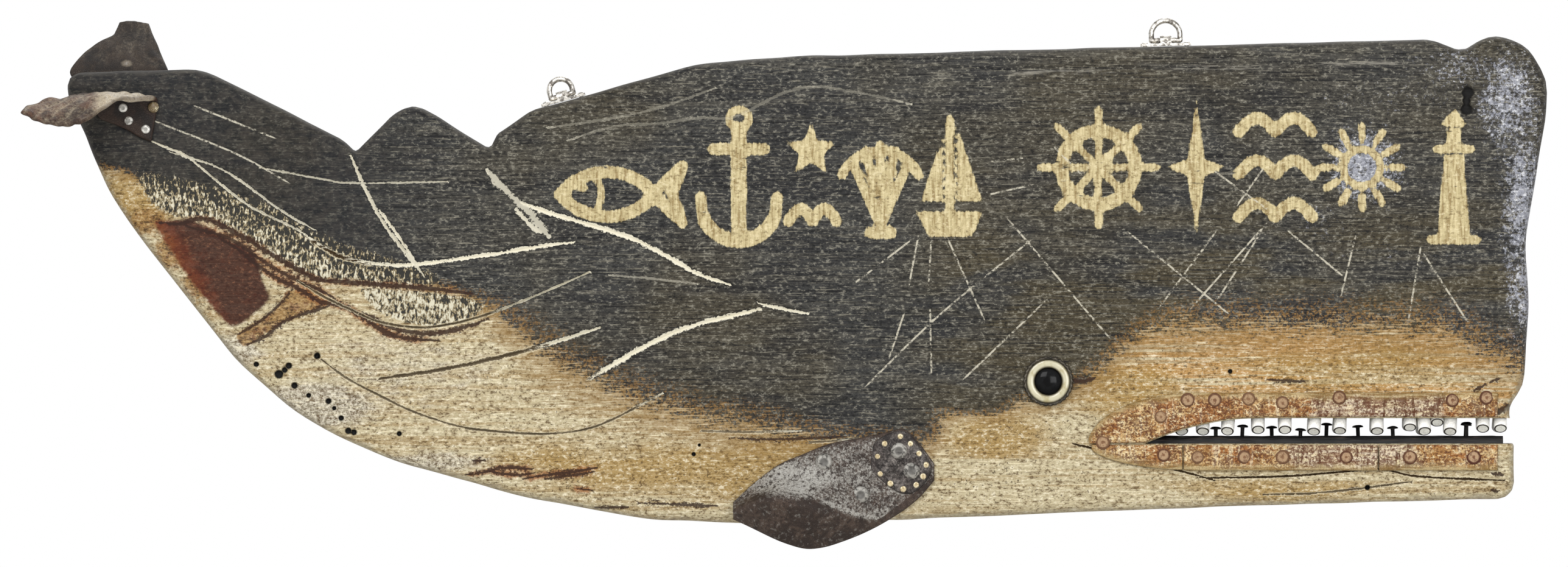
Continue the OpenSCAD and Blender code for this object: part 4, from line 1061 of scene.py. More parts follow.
def section(node, y):
    """Closed line, in layout millimetres, where the plane at y, in metres, cuts a CAD node: each triangle that
    crosses it gives one piece, and the pieces are joined end to end, anticlockwise on the right face."""
    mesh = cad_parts[node].data
    mesh.calc_loop_triangles()
    co = np.empty(len(mesh.vertices) * 3)
    mesh.vertices.foreach_get("co", co)
    corner = np.empty(len(mesh.loop_triangles) * 3, int)
    mesh.loop_triangles.foreach_get("vertices", corner)
    tri = co.reshape(-1, 3)[corner].reshape(-1, 3, 3)
    above = tri[:, :, 1] > y
    tri, above = tri[above.any(1) & ~above.all(1)], above[above.any(1) & ~above.all(1)]
    lone = np.where((above.sum(1) == 1)[:, None], above, ~above).argmax(1)
    row = np.arange(len(tri))
    tip, left, right = tri[row, lone], tri[row, (lone + 1) % 3], tri[row, (lone + 2) % 3]
    cut = [tip + (end - tip) * ((y - tip[:, 1]) / (end[:, 1] - tip[:, 1]))[:, None] for end in (left, right)]
    flip = above[row, lone][:, None]
    start, stop = np.where(flip, cut[0], cut[1])[:, ::2], np.where(flip, cut[1], cut[0])[:, ::2]
    by_start = {tuple(p): k for k, p in enumerate(np.round(start / MM, 1))}
    order = [0]
    while True:
        following = by_start.get(tuple(np.round(stop[order[-1]] / MM, 1)))
        if following is None or following == order[0] or len(order) > len(start):
            break
        order.append(following)
    line = (start[order] - ORIGIN[::2]) / MM
    line = line[np.linalg.norm(line - np.roll(line, 1, axis=0), axis=1) > 0.05]
    area = (line[:, 0] * np.roll(line[:, 1], -1) - line[:, 1] * np.roll(line[:, 0], -1)).sum()
    return line if area > 0 else line[::-1]


def in_slot(points):
    """True at points on the walls of the mouth."""
    x, z = points[:, 0], points[:, 1]
    return (x > MOUTH_X - 1) & (z > MOUTH_Z - 0.5) & (z < MOUTH_Z + MOUTH_GAP + 0.5)


def cream_shape():
    """Closed shape of the cream paint: the paint's edge, closed far below the keel."""
    line = flowing(PAINT_EDGE, 4)
    return np.concatenate([line, [[line[-1, 0] + 50, -60], [-60, -60], [-60, line[0, 1]]]])


# Spacing of points along the plank's outline, and rings of points inside it as shares of its edge's radius
OUTLINE_STEP = 2.6
EDGE_RINGS = np.array([0.05, 0.19, 0.41, 0.69, 1.0, 1.45])
# Points over the face: their extent, and the height of their rows, which is an equilateral triangle's
GRID_LONG, GRID_HIGH, ROW_HIGH = 1080, 360, 0.866
# Cells in which crowded points are found: how many to a millimetre, the margin round them, and their number
CELLS_TO_MM, CELL_MARGIN, CELL_COUNT = 2, 40, (2300, 900)
# Top edge of the head: a height on it, its slope and that height's x, and the width of the planed band
HEAD_HIGH, HEAD_SLOPE, HEAD_X, BAND_WIDE = 343, 0.027, 968, 16.5


class Plank:
    """The plank's face as one set of layout points, with its heights and what is painted on each."""

    def __init__(self):
        carving = settings().carving
        self.round = carving.edge_round / MM
        rim = section("whale_body", 0.5 * MM)
        loop = even(np.concatenate([rim, rim[:1]]), OUTLINE_STEP)[:-1]
        outer = ~in_slot(loop)
        along = unit(np.roll(loop, -1, axis=0) - np.roll(loop, 1, axis=0))
        inward = np.stack([-along[:, 1], along[:, 0]], 1)
        nicks = carving.wear / MM * (
            0.5 + 0.5 * rough(np.insert(loop, 1, 0, axis=1), (22, 9, 22), settings().seed))
        self.loop = loop + inward * (nicks * outer)[:, None]
        rings = [self.loop + inward * d for d in self.round * EDGE_RINGS]
        rows = self.rows()
        grid = self.field(np.concatenate([rows] + rings))
        rings = [ring[gap_to(ring, self.loop, closed=True)[0] > 0.85 * d]
                 for ring, d in zip(rings, self.round * EDGE_RINGS)]
        self.triangulate(np.concatenate([self.loop, *rings, rows, grid]), len(self.loop))

    def rows(self):
        """Points along carved lines, scored lines and marks, and round the holes, clear of the outline."""
        rows = [flowing(line, 2.0) for _, _, _, line in CARVED]
        rows = [self.beside(row, width / 2 * s) for row, (width, _, _, _) in zip(rows, CARVED)
                for s in (-1.5, -1, 0, 1, 1.5)]
        rows += [self.beside(flowing(line, 2.4), s) for line in SCORED for s in (-1.3, 0, 1.3)]
        rows += [self.beside(flowing(line, 2.6), w * s) for w, _, _, line in MARKS for s in (-1, 0, 1)]
        rows += [arc(x, z, r * s, 0, 330, 30) for x, z, r in HOLES for s in (0.5, 1.0, 1.3)]
        rows = np.concatenate(rows + [[(x, z) for x, z, _ in HOLES]])
        rows = rows[inside(rows, self.loop)]
        return rows[gap_to(rows, self.loop, closed=True)[0] > 1.2]

    def field(self, others):
        """Points in a shaken triangular pattern, clear of the others and of the rounded edge."""
        step = settings().carving.spacing / MM
        count = (int(GRID_LONG / step), int(GRID_HIGH / (step * ROW_HIGH)))
        x, z = np.meshgrid(np.arange(count[0]) * step, np.arange(count[1]) * step * ROW_HIGH, indexing="ij")
        x = x + (np.arange(count[1]) % 2) * step / 2
        jitter = np.random.default_rng(settings().seed).uniform(-0.12, 0.12, (2, x.size)) * step
        grid = np.stack([x.ravel() + jitter[0], z.ravel() + jitter[1]], 1) - [4, 2]
        grid = grid[inside(grid, self.loop)]
        grid = grid[~self.cells_near(others, 1.3)[tuple(self.cell(grid).T)]]
        return grid[gap_to(grid, self.loop, closed=True)[0] > self.round * 1.2]

    def cell(self, points):
        """Number of each point's cell, along and up."""
        return (points * CELLS_TO_MM + CELL_MARGIN).astype(int)

    def beside(self, line, out):
        """The same line moved sideways."""
        along = unit(np.gradient(line, axis=0))
        return line + np.stack([-along[:, 1], along[:, 0]], 1) * out

    def cells_near(self, points, reach):
        """True in the cells of the layout that lie within reach of any of the points."""
        taken = np.zeros(CELL_COUNT, bool)
        at = self.cell(points)
        steps = int(reach * CELLS_TO_MM)
        for dx in range(-steps, steps + 1):
            for dz in range(-steps, steps + 1):
                if dx * dx + dz * dz <= steps * steps:
                    taken[at[:, 0] + dx, at[:, 1] + dz] = True
        return taken

    def triangulate(self, points, count):
        """Triangles over the face, held to the outline, whose points come first."""
        edges = [(k, (k + 1) % count) for k in range(count)]
        flat = [Vector(p) for p in points.tolist()]
        made, _, faces, origin, _, _ = delaunay_2d_cdt(flat, edges, [list(range(count))], 1, 0.01)
        self.points = np.array([tuple(p) for p in made])
        self.faces = np.array([f for f in faces if len(f) == 3])
        where = {old: new for new, olds in enumerate(origin) for old in olds}
        self.edge_ids = np.array([where[k] for k in range(count)])
        a, b, c = (self.points[self.faces[:, k]] for k in range(3))
        turn = (b[:, 0] - a[:, 0]) * (c[:, 1] - a[:, 1]) - (b[:, 1] - a[:, 1]) * (c[:, 0] - a[:, 0])
        self.faces[turn < 0] = self.faces[turn < 0][:, ::-1]

    def measure(self):
        """Attributes of each point: distances and shares that the paint reads, and the carved depth."""
        p = self.points
        x, z = p.T
        # The outline without the walls of the mouth begins where they were, so that it doesn't cross the mouth
        outer = self.loop[~in_slot(self.loop)]
        gaps = np.linalg.norm(np.diff(outer, axis=0), axis=1)
        outer = np.roll(outer, -int(gaps.argmax()) - 1, axis=0)
        self.edge = gap_to(p, outer)[0]
        self.slot_edge = gap_to(p, self.loop[in_slot(self.loop)])[0]
        belly = depth_in(p, cream_shape())
        feather = (5 + 16 * ease(x, 270, 340) * ease(x, 560, 430) + 7 * ease(x, 430, 500) * ease(x, 640, 600)
                   + 7 * ease(x, 640, 700) + 12 * ease(x, 730, 800))
        top = self.head_top(x) - z
        head = ease(x, 560, 660) * ease(x, 985, 955)
        self.band = head * ease(top, BAND_WIDE + 1.5, BAND_WIDE - 2)
        return {"belly": belly, "border": belly / feather, "edge": self.edge, "tail": ease(x, 300, 150),
                "warm": ease(x, 690, 770) * ease(z, 66, 92), "brow": ease(x, 560, 650) * ease(z, 290, 180),
                "ornament": ornament_depth(p), "gloss": self.patches(GLOSS_AND_REFLECTION), "yellowed": self.patches(YELLOWED),
                "bare": self.patches(BARE), "band": self.band,
                "arris": head * ease(np.abs(top - BAND_WIDE), 1.8, 0),
                **self.measure_cuts(), **self.measure_stains(belly)}

    def measure_cuts(self):
        """Shares of carved lines, scored lines and holes for the paint, and their shares of depth."""
        p = self.points
        groove, pale, cut = np.zeros(len(p)), np.ones(len(p)), np.zeros(len(p))
        for width, deep, bright, line in CARVED:
            gap, share = gap_to(p, flowing(line, 3))
            half = width / 2 * np.clip(np.minimum(share, 1 - share) * 9 + 0.25, 0, 1)
            value = np.clip(1 - gap / (1.5 * half), 0, 1)
            pale = np.where(value > groove, bright, pale)
            groove = np.maximum(groove, value)
            cut = np.maximum(cut, np.clip(1 - gap / half, 0, 1) * deep)
        scratch = np.zeros(len(p))
        for line in SCORED:
            gap, share = gap_to(p, flowing(line, 4))
            ends = ease(np.minimum(share, 1 - share), -0.05, 0.08)
            scratch = np.maximum(scratch, np.clip(1 - gap / 1.3, 0, 1) * ends)
        pit = np.zeros(len(p))
        for x, z, radius in HOLES:
            pit = np.maximum(pit, ease(np.hypot(p[:, 0] - x, p[:, 1] - z), radius * 1.2, radius * 0.8))
        self.cut = {"groove": cut, "scratch": scratch, "pit": pit}
        return {"groove": groove, "pale": pale, "scratch": scratch, "pit": pit}

    def measure_stains(self, belly):
        """Shares of the tail's stain, its arm, the marks with their orange, and the dabs."""
        p = self.points
        x, z = p.T
        mark, glow = np.zeros(len(p)), np.zeros(len(p))
        for width, strength, orange, line in MARKS:
            gap, share = gap_to(p, flowing(line, 4))
            ends = 0.45 + 0.55 * ease(np.minimum(share, 1 - share), 0, 0.12)
            mark = np.maximum(mark, strength * np.clip(1.45 - gap / (ends * width), 0, 1))
            glow = np.maximum(glow, orange * ease(gap, width + 3.5, width) * ends)
        right_edge = gap_to(p, STAIN[1:9])[0]
        deep = np.maximum(ease(x + 0.55 * (z - 175), 64, 110), 0.9 * ease(right_edge, 8, 1))
        pockets = [self.into(ring) for ring in DABBED]
        return {"stain": ease(self.into(STAIN), -5, 4), "deep": deep, "mark": mark, "glow": glow,
                "amber": np.maximum(self.patches(AMBER), ease(self.into(ARM), -2, 1.5)),
                "dab": np.maximum(ease(pockets[0], -7, 3), ease(pockets[1], -2, 2)),
                "lit": -0.075 + 0.1 * ease(belly, -4, 20) + 0.035 * (pockets[1] > -3)}

    def into(self, ring):
        """Distance of each point into the smooth closed line through a ring of places."""
        return depth_in(self.points, flowing(ring + ring[:1], 4))

    def head_top(self, x):
        """Height of the head's top edge, which is nearly straight from the rear hanger to the brow."""
        return HEAD_HIGH - HEAD_SLOPE * (HEAD_X - x)

    def patches(self, places):
        """Share of a soft oval patch at each point, the strongest where they overlap."""
        shares = [strength * ease(np.linalg.norm((self.points - centre) / half, axis=1), 1.25, 0.2)
                  for centre, half, strength in places]
        return np.max(shares, axis=0)

    def depth(self, seed):
        """How far the surface lies below the flat face: rounded edges, planed hollows, the bevel along the
        head's top, grooves, scratches and holes."""
        carving = settings().carving
        p = np.insert(self.points, 1, 0, axis=1)

        def quarter(gap, radius):
            """Depth of a quarter round at a distance from its edge."""
            return radius - np.sqrt(np.maximum(radius ** 2 - (radius - np.minimum(gap, radius)) ** 2, 0))

        rounding = np.maximum(quarter(self.edge, self.round), quarter(self.slot_edge, carving.slot_round / MM))
        flat = ease(self.edge, 1, 14)
        waves = 0.5 + 0.35 * rough(p, (160, 40, 26), seed) + 0.15 * rough(p, (60, 20, 9), seed + 1)
        hollows = carving.relief / MM * waves
        bevel = carving.bevel / MM * self.band
        ragged = 1 + 0.25 * rough(p, (7, 7, 7), seed + 2)
        cuts = (carving.groove / MM * self.cut["groove"] * ragged + carving.scratch / MM * self.cut["scratch"]
                + 2.4 * self.cut["pit"])
        return rounding + flat * (hollows + bevel) + cuts


def build_plank():
    """Closed plank: its faces share one set of triangles, and rows of points run across between their edges."""
    seed = settings().seed
    plank = Plank()
    painted = plank.measure()
    p, count = plank.points, len(plank.points)
    right = np.stack([p[:, 0], -FACE + plank.depth(seed + 10), p[:, 1]], 1)
    left = np.stack([p[:, 0], FACE - plank.depth(seed + 20), p[:, 1]], 1)
    ids = plank.edge_ids
    across = spread(11, 0.8)[1:-1]
    walls = right[ids][None] + (left[ids] - right[ids])[None] * across[:, None, None]
    turn = unit(np.roll(p[ids], -1, axis=0) - np.roll(p[ids], 1, axis=0))
    chatter = 0.35 * (0.5 + 0.5 * rough(walls, (9, 14, 9), seed + 3)) * (~in_slot(p[ids]))
    walls[:, :, 0] -= turn[:, 1] * chatter
    walls[:, :, 2] += turn[:, 0] * chatter
    numbers = np.concatenate([ids[None], 2 * count + np.arange(walls.shape[0] * len(ids)).reshape(-1, len(ids)),
                              ids[None] + count])
    sides = round_cells(numbers)[:, ::-1]
    faces = plank.faces.tolist() + (plank.faces[:, ::-1] + count).tolist() + sides.tolist()
    source = np.concatenate([np.arange(count), np.arange(count), np.tile(ids, walls.shape[0])])
    attributes = {key: values[source] for key, values in painted.items()}
    in_mouth = np.zeros(len(source))
    in_mouth[2 * count:] = np.tile(in_slot(p[ids]), walls.shape[0])
    attributes["slot"] = in_mouth
    points = np.concatenate([right, left, walls.reshape(-1, 3)])
    piece("whale_plank", points, faces, "plank paint", "painted_pine", "whale_body", attributes=attributes,
          sharp=55)


def build_strip():
    """Black strip along the lower jaw: a bevelled section carried from the mouth corner to the chin."""
    x = np.linspace(MOUTH_X + 1, LIP_FRONT + 4, 130)
    half, high = STRIP_WIDE / 2, STRIP_HIGH
    line = np.array([(half + 2, -0.3), (half + 1.4, 2.2), (half + 0.2, 4.6), (half - 1.6, high),
                     (4, high + 0.2), (-4, high + 0.2), (1.6 - half, high), (-half - 0.2, 4.6),
                     (-half - 1.4, 2.2), (-half - 2, -0.3)])
    points = np.empty((len(x), len(line), 3))
    points[..., 0] = x[:, None]
    points[..., 1] = line[:, 0]
    points[..., 2] = MOUTH_Z + line[:, 1]
    points[:, 1:-1, 2] += 0.4 * rough(points[:, 1:-1], (6, 9, 6), 31) - 0.3
    points[:, 1:-1, 1] += 0.5 * rough(points[:, 1:-1], (8, 20, 6), 32)
    index = np.arange(points[..., 0].size).reshape(points.shape[:2])
    faces = round_cells(index)[:, ::-1].tolist()
    faces += [index[0].tolist(), index[-1][::-1].tolist()]
    piece("jaw_strip_wood", points.reshape(-1, 3), faces, "strip paint", "painted_pine", "jaw_strip", sharp=40)


# Mouth, eyes and lips


def open_share(x):
    """Share of its full height that the mouth has at x."""
    return 1 - (1 - np.clip((np.asarray(x, float) - MOUTH_X) / MOUTH_TAPER, 0, 1)) ** 2


def gum(x):
    """Upper edge of the mouth at x."""
    return MOUTH_Z + MOUTH_GAP * open_share(x)


# Upper teeth, alike in the two rows: x and share of the full length
TEETH = [(789, 1), (804, 1), (822, 1), (843, 0.9), (862, 0.9), (883, 1), (901, 0.92), (927, 0.95), (950, 0.7),
         (960, 1), (969.5, 0.35), (979, 1), (1002, 0.8), (1014, 0.8)]
# Lower nails: x, share of the full height, and side
TOOTH_NAILS = [(813, 0.9, -1), (832, 0.85, -1), (853, 0.75, 1), (873, 0.65, -1), (892, 0.9, 1), (914, 0.8, 1),
               (938, 0.75, -1), (990, 0.9, -1), (991, 0.95, 1)]
# Distances of the rows from the plank's middle, a tooth's radius and lean, and how far teeth and nails end
# before the strip and the upper jaw
TOOTH_ROW, NAIL_ROW, TOOTH_RADIUS, TOOTH_LEAN, TOOTH_GAP, NAIL_GAP = 13, 12.5, 4.2, math.radians(30), 0.8, 3.5


def tooth(x, share, side, rng):
    """One peg: a shape turned about a leaning axis, its cut end slanted by how far out each point lies. Returns
    points, faces and the run of each point, which goes from 0 at the root to 1 at the middle of the cut end."""
    r = TOOTH_RADIUS
    room = gum(x) - MOUTH_Z - STRIP_HIGH - TOOTH_GAP - r * math.sin(TOOTH_LEAN)
    long = max(1, room * share / math.cos(TOOTH_LEAN))
    wide = 1.1 * r
    profile = [(0, -7), (r, -7), (r, -2), (wide, 0.2), (wide, 0.6 * long), (0.99 * wide, long - 0.6),
               (0.95 * wide, long - 0.15), (0.82 * wide, long), (0.66 * wide, long - 0.1),
               (0.3 * wide, long - 0.2), (0, long - 0.2)]
    lean = TOOTH_LEAN + rng.normal(0, 0.04)
    out = np.array([rng.normal(0, 0.05), side * math.sin(lean), -math.cos(lean)])
    root = np.array([x, side * TOOTH_ROW, gum(x)])
    points, faces, radius, _ = studs(profile, [root], out, [1.0], int(x) + side, dent=0.15)
    along = (points - root) @ unit(out)
    outward = (points - root) @ np.array([0, side * math.cos(lean), math.sin(lean)])
    points = points - unit(out) * (0.16 * outward * ease(along, 0.4 * long, long))[:, None]
    level = np.clip(along / long, 0, 1)
    cut = np.interp(radius, [0, 0.66, 0.82, 0.95], [1.0, 1.0, 0.9, 0.86])
    return points, faces, np.where((radius < 0.97) & (level > 0.5), cut, level * 0.78)


def build_teeth():
    """Two rows of wooden pegs that lean out of the upper jaw, cut off a little aslant."""
    rng = np.random.default_rng(settings().seed + 4)
    teeth = [tooth(x, share, side, rng) for x, share in TEETH for side in (-1, 1)]
    points, faces = joined([one[:2] for one in teeth])
    piece("upper_tooth_pegs", points, faces, "tooth paint", "tooth_paint", "upper_teeth",
          attributes={"run": np.concatenate([run for _, _, run in teeth])}, sharp=50)


def build_nails():
    """Broad-headed nails that stand up from the lower jaw."""
    nails = []
    for x, share, side in TOOTH_NAILS:
        high = (gum(x) - MOUTH_Z - NAIL_GAP) * share
        profile = [(0, -6 - high), (1.4, -6 - high), (1.4, -1.5), (1.5, -0.6), (3.9, -0.35), (4.0, 0.1),
                   (3.6, 0.7), (2.2, 1.25), (1.0, 1.45), (0, 1.5)]
        nails.append(studs(profile, [(x, side * NAIL_ROW, MOUTH_Z + high)], (0, 0, 1), [1.0], int(x) + 1,
                           around=18, tilt=0.04, dent=0.2)[:2])
    points, faces = joined(nails)
    piece("lower_jaw_nails", points, faces, "black iron", "iron", "lower_tooth_nails", sharp=50)


# An eye's white ring, by middle radius and half width, its glass, by radius and height, and its rim's scallops
RING_RADIUS, RING_HALF, GLASS_RADIUS, GLASS_HIGH, SCALLOPS = 12.6, 2.95, 9.6, 4.2, 30


def at_eye(points):
    """Turned points laid on the right face, their axis out through the eye's centre."""
    return np.array([EYE[0], -FACE, EYE[1]]) + np.stack([points[:, 0], -points[:, 2], points[:, 1]], 1)


def build_eyes():
    """Each eye: a tin rim crimped in scallops, a round-crowned white ring and a black glass dome."""
    crimp = [(0, -0.6), (14.0, -0.6), (17.6, -0.4), (17.5, 1.4), (17.1, 2.5), (16.5, 3.0), (15.9, 2.6),
             (15.5, 1.9), (15.2, 0.2), (0, 0.2)]
    rim, rim_faces = turned(crimp, 144)
    angle = np.arctan2(rim[:, 1], rim[:, 0])
    outer = ease(np.linalg.norm(rim[:, :2], axis=1), 15.4, 16.6)
    rim[:, :2] *= (1 + 0.018 * outer * np.cos(SCALLOPS * angle))[:, None]
    rim[:, 2] += 0.35 * outer * np.cos(SCALLOPS * angle) * (rim[:, 2] > 0)
    crown = [(RING_RADIUS + RING_HALF * math.cos(a), 0.3 + 1.6 * math.sin(a))
             for a in np.linspace(0, math.pi, 14)]
    ring, ring_faces = turned([(0, -3.6), (15.5, -3.5)] + crown + [(9.65, -3), (0, -3.2)], 96)
    # Share of the half width out from the crown's middle, which sets the ring's painted shade
    dirt = np.abs(np.linalg.norm(ring[:, :2], axis=1) - RING_RADIUS) / RING_HALF
    crown = [(GLASS_RADIUS * math.cos(a), GLASS_HIGH * math.sin(a))
             for a in np.linspace(0, math.pi / 2, 12)[1:-1]]
    dome, dome_faces = turned(
        [(0, -3), (GLASS_RADIUS, -2.9), (GLASS_RADIUS, 0)] + crown + [(0, GLASS_HIGH)], 64)
    inner = np.linalg.norm(dome[:, :2], axis=1) / GLASS_RADIUS
    for side in SIDES:
        piece(f"{side}_eye_crimped_rim", at_eye(rim), rim_faces, "crimped tin", "eye_tin", f"{side}_eye_rim")
        piece(f"{side}_eye_white_ring", at_eye(ring), ring_faces, "eye white", "eye_white", f"{side}_eye_white",
              attributes={"dirt": dirt})
        piece(f"{side}_eye_glass_dome", at_eye(dome), dome_faces, "eye glass", "eye_glass", f"{side}_eye_glass",
              attributes={"radius": inner})


# Lips: how far behind the mouth corner they start, their widths above and below the mouth, and how far they
# stand back from its edges
LIP_BACK, UPPER_LIP, LOWER_LIP, LIP_SET_BACK = 40, 18, 19, 0.8
LIP_START = MOUTH_X - LIP_BACK
LIP_PARTS = (("rear", LIP_START + 2, 789.4), ("middle", 790, 927.4), ("front", 928, LIP_FRONT))
# Lip tacks: x and share of the way out over the lip
UPPER_TACKS = [(733, 0.05), (774, 0.5), (793, 0.8), (812, 0.75), (836, 0.75), (860, 0.6), (900, 0.8),
               (980, 0.7), (1004, 0.8)]
LOWER_TACKS = [(776, 0.45), (800, 0.5), (833, 0.5), (860, 0.5), (905, 0.5), (950, 0.5), (995, 0.5)]


def lip_swell(x):
    """Share of a lip's full width at x: it closes in a round end behind the mouth corner."""
    t = np.clip((np.asarray(x, float) - LIP_START) / (2 * LIP_BACK), 0, 1)
    return np.sqrt(1 - (1 - t) ** 2)


def upper_edge(x):
    """Upper edge of the upper lip at x."""
    return MOUTH_Z + (MOUTH_GAP + UPPER_LIP) * lip_swell(x)


def lower_edge(x):
    """Lower edge of the lower lip at x."""
    return MOUTH_Z - LOWER_LIP * lip_swell(x)


def tack_places():
    """Places of the lip tacks on the face."""
    upper = [(x, gum(max(x, MOUTH_X)) + (upper_edge(x) - gum(max(x, MOUTH_X))) * s) for x, s in UPPER_TACKS]
    lower = [(x, MOUTH_Z + (lower_edge(x) - MOUTH_Z) * s) for x, s in LOWER_TACKS]
    return np.array(upper + lower, float)


def lip_grid(x, low, high, seed):
    """Grid over a strip of lip: straight lines up from its lower to its upper edge, raised between the tacks
    and puckered round them."""
    v = spread(22)[:, None]
    grid = np.zeros((len(v), len(x), 3))
    grid[..., 0] = x
    grid[..., 2] = low + (high - low) * v
    flat = np.stack([grid[..., 0], grid[..., 2]], -1).reshape(-1, 2)
    gap = np.linalg.norm(flat[:, None] - tack_places(), axis=-1).min(1).reshape(grid.shape[:2])
    thick = settings().leather.lip / MM
    lift = (0.5 * ease(gap, 4, 12) + 0.25 * rough(grid, (5, 5, 9), seed)
            + 0.12 * rough(grid, (2.2, 4, 5), seed + 1))
    grid[..., 1] = -FACE - thick / 2 - 0.1 - np.maximum(lift, 0) * ease(from_edge(grid), 0, 3)
    return grid


def lip(name, grid, edge, node):
    """One strip of lip: leather over a grid, with the distance from its outer edge and how grey it is."""
    x, z = grid[..., 0], grid[..., 2]
    grey = np.where(z > MOUTH_Z, ease(x, 862, 896) * ease(x, 985, 960), ease(x, 852, 880) * ease(x, 968, 940))
    points, faces, marks = leather(grid, settings().leather.lip / MM, outer=np.abs(edge - z), grey=grey)
    piece(name, points, faces, "lip leather", "lip_leather", node, attributes=marks)


def build_lips():
    """Leather strips along both jaws, on both faces, and the copper tacks that hold them."""
    seed = settings().seed + 40
    for side in SIDES:
        x = LIP_START + (LIP_FRONT - LIP_START) * spread(230, 0.35)
        low = np.where(x < MOUTH_X, MOUTH_Z + LIP_SET_BACK * (x - LIP_START) / LIP_BACK, gum(x) + LIP_SET_BACK)
        grid = lip_grid(x, low, np.maximum(upper_edge(x), low + 0.3), seed)
        lip(f"{side}_upper_lip_leather", grid, upper_edge(x), f"{side}_upper_lip")
        for k, (name, start, end) in enumerate(LIP_PARTS):
            x = start + (end - start) * spread(int((end - start) / 1.3), 0.35)
            high = np.full(len(x), MOUTH_Z - LIP_SET_BACK)
            grid = lip_grid(x, np.minimum(lower_edge(x), high - 0.3), high, seed + 3 + k)
            lip(f"{side}_lower_lip_{name}_leather", grid, lower_edge(x), f"{side}_lower_lip_{name}")
        head(f"{side}_copper_tacks", tack_places(), settings().leather.lip / MM, 5.0, 1.2, "tack copper",
             "copper", f"{side}_lip_tacks", seed + 9)


def head(name, places, out, radius, rise, finish_name, slot, node, seed, dent=0.22):
    """Domed heads on a face at layout places, that far out of it, hollowed a little at the middle."""
    places = np.asarray(places, float)
    spots = np.stack([places[:, 0], np.full(len(places), -FACE) - out, places[:, 1]], 1)
    share = np.array([(0, -0.35), (0.9, -0.35), (1.0, -0.08), (0.99, 0.12), (0.93, 0.38), (0.8, 0.68),
                      (0.62, 0.9), (0.45, 0.98), (0.3, 0.93), (0.15, 0.86), (0, 0.84)])
    sizes = np.random.default_rng(seed).uniform(0.94, 1.04, len(places))
    points, faces, inner, tones = studs(share * [radius, rise], spots, (0, -1, 0), sizes, seed, around=26,
                                        tilt=0.05, dent=dent)
    piece(name, points, faces, finish_name, slot, node, attributes={"radius": inner, "tone": tones})


# Fins and flukes

# Fin in columns: x, heights of its root, fold and hanging edge, and share of how far the fold stands out
FIN_COLUMNS = [(472, 15, 9, 4, 0.25), (487, 29, 15, -3, 0.7), (505, 43, 18, -12, 1), (523, 50, 14, -18, 1),
               (538, 57, 9, -16, 0.85), (560, 61, 5, -8, 0.4), (577, 64, 8, 0, 0.05), (593, 69, 22, 10, 0),
               (604, 57, 30, 19, 0), (614, 43, 37, 31, 0)]
# How far the fold stands out at most, and the shares of it at the hanging edge and half way up the slope
FIN_OUT, FIN_TUCK, FIN_LIFT = 30, 0.45, 0.3
# Grid points of the blade, down and along
FIN_DOWN, FIN_ALONG = 96, 150
# Line on the blade along which its rubbed slope turns to the dark hanging part
FIN_FOLD = [(473, 10), (489, 19.5), (510, 17.5), (529, 17), (541, 11), (560, 5), (578, 2.5), (600, 14),
            (614, 34)]
# Outline of the patch, the tacks with 1 for those that go through the patch, and the pins round it
PATCH = [(568, 40), (572, 58), (592, 66), (606, 52), (612, 38), (602, 24), (590, 22), (576, 31)]
FIN_TACKS = [(536, 44, 0), (589, 52, 1), (562, 21, 0), (598, 38, 1)]
FIN_PINS = [(590, 62), (597, 57), (603, 50), (608, 42), (606, 34), (601, 28), (592, 25), (583, 29), (576, 36),
            (574, 48), (579, 57)]


def fin_skin(x, z):
    """Distance of the blade's outer side from the face on its upper slope, and on the fold."""
    column = np.array([np.interp(x, [c[0] for c in FIN_COLUMNS], [c[k] for c in FIN_COLUMNS])
                       for k in range(5)])
    top, fold, out = column[1], column[2], FIN_OUT * column[4]
    half_z, half_out = (top + fold) / 2, out * FIN_LIFT
    slope = np.where(z > half_z, half_out * np.maximum(0, top - z) / (top - half_z),
                     half_out + (out - half_out) * (half_z - z) / (half_z - fold))
    return settings().leather.fin / MM + slope


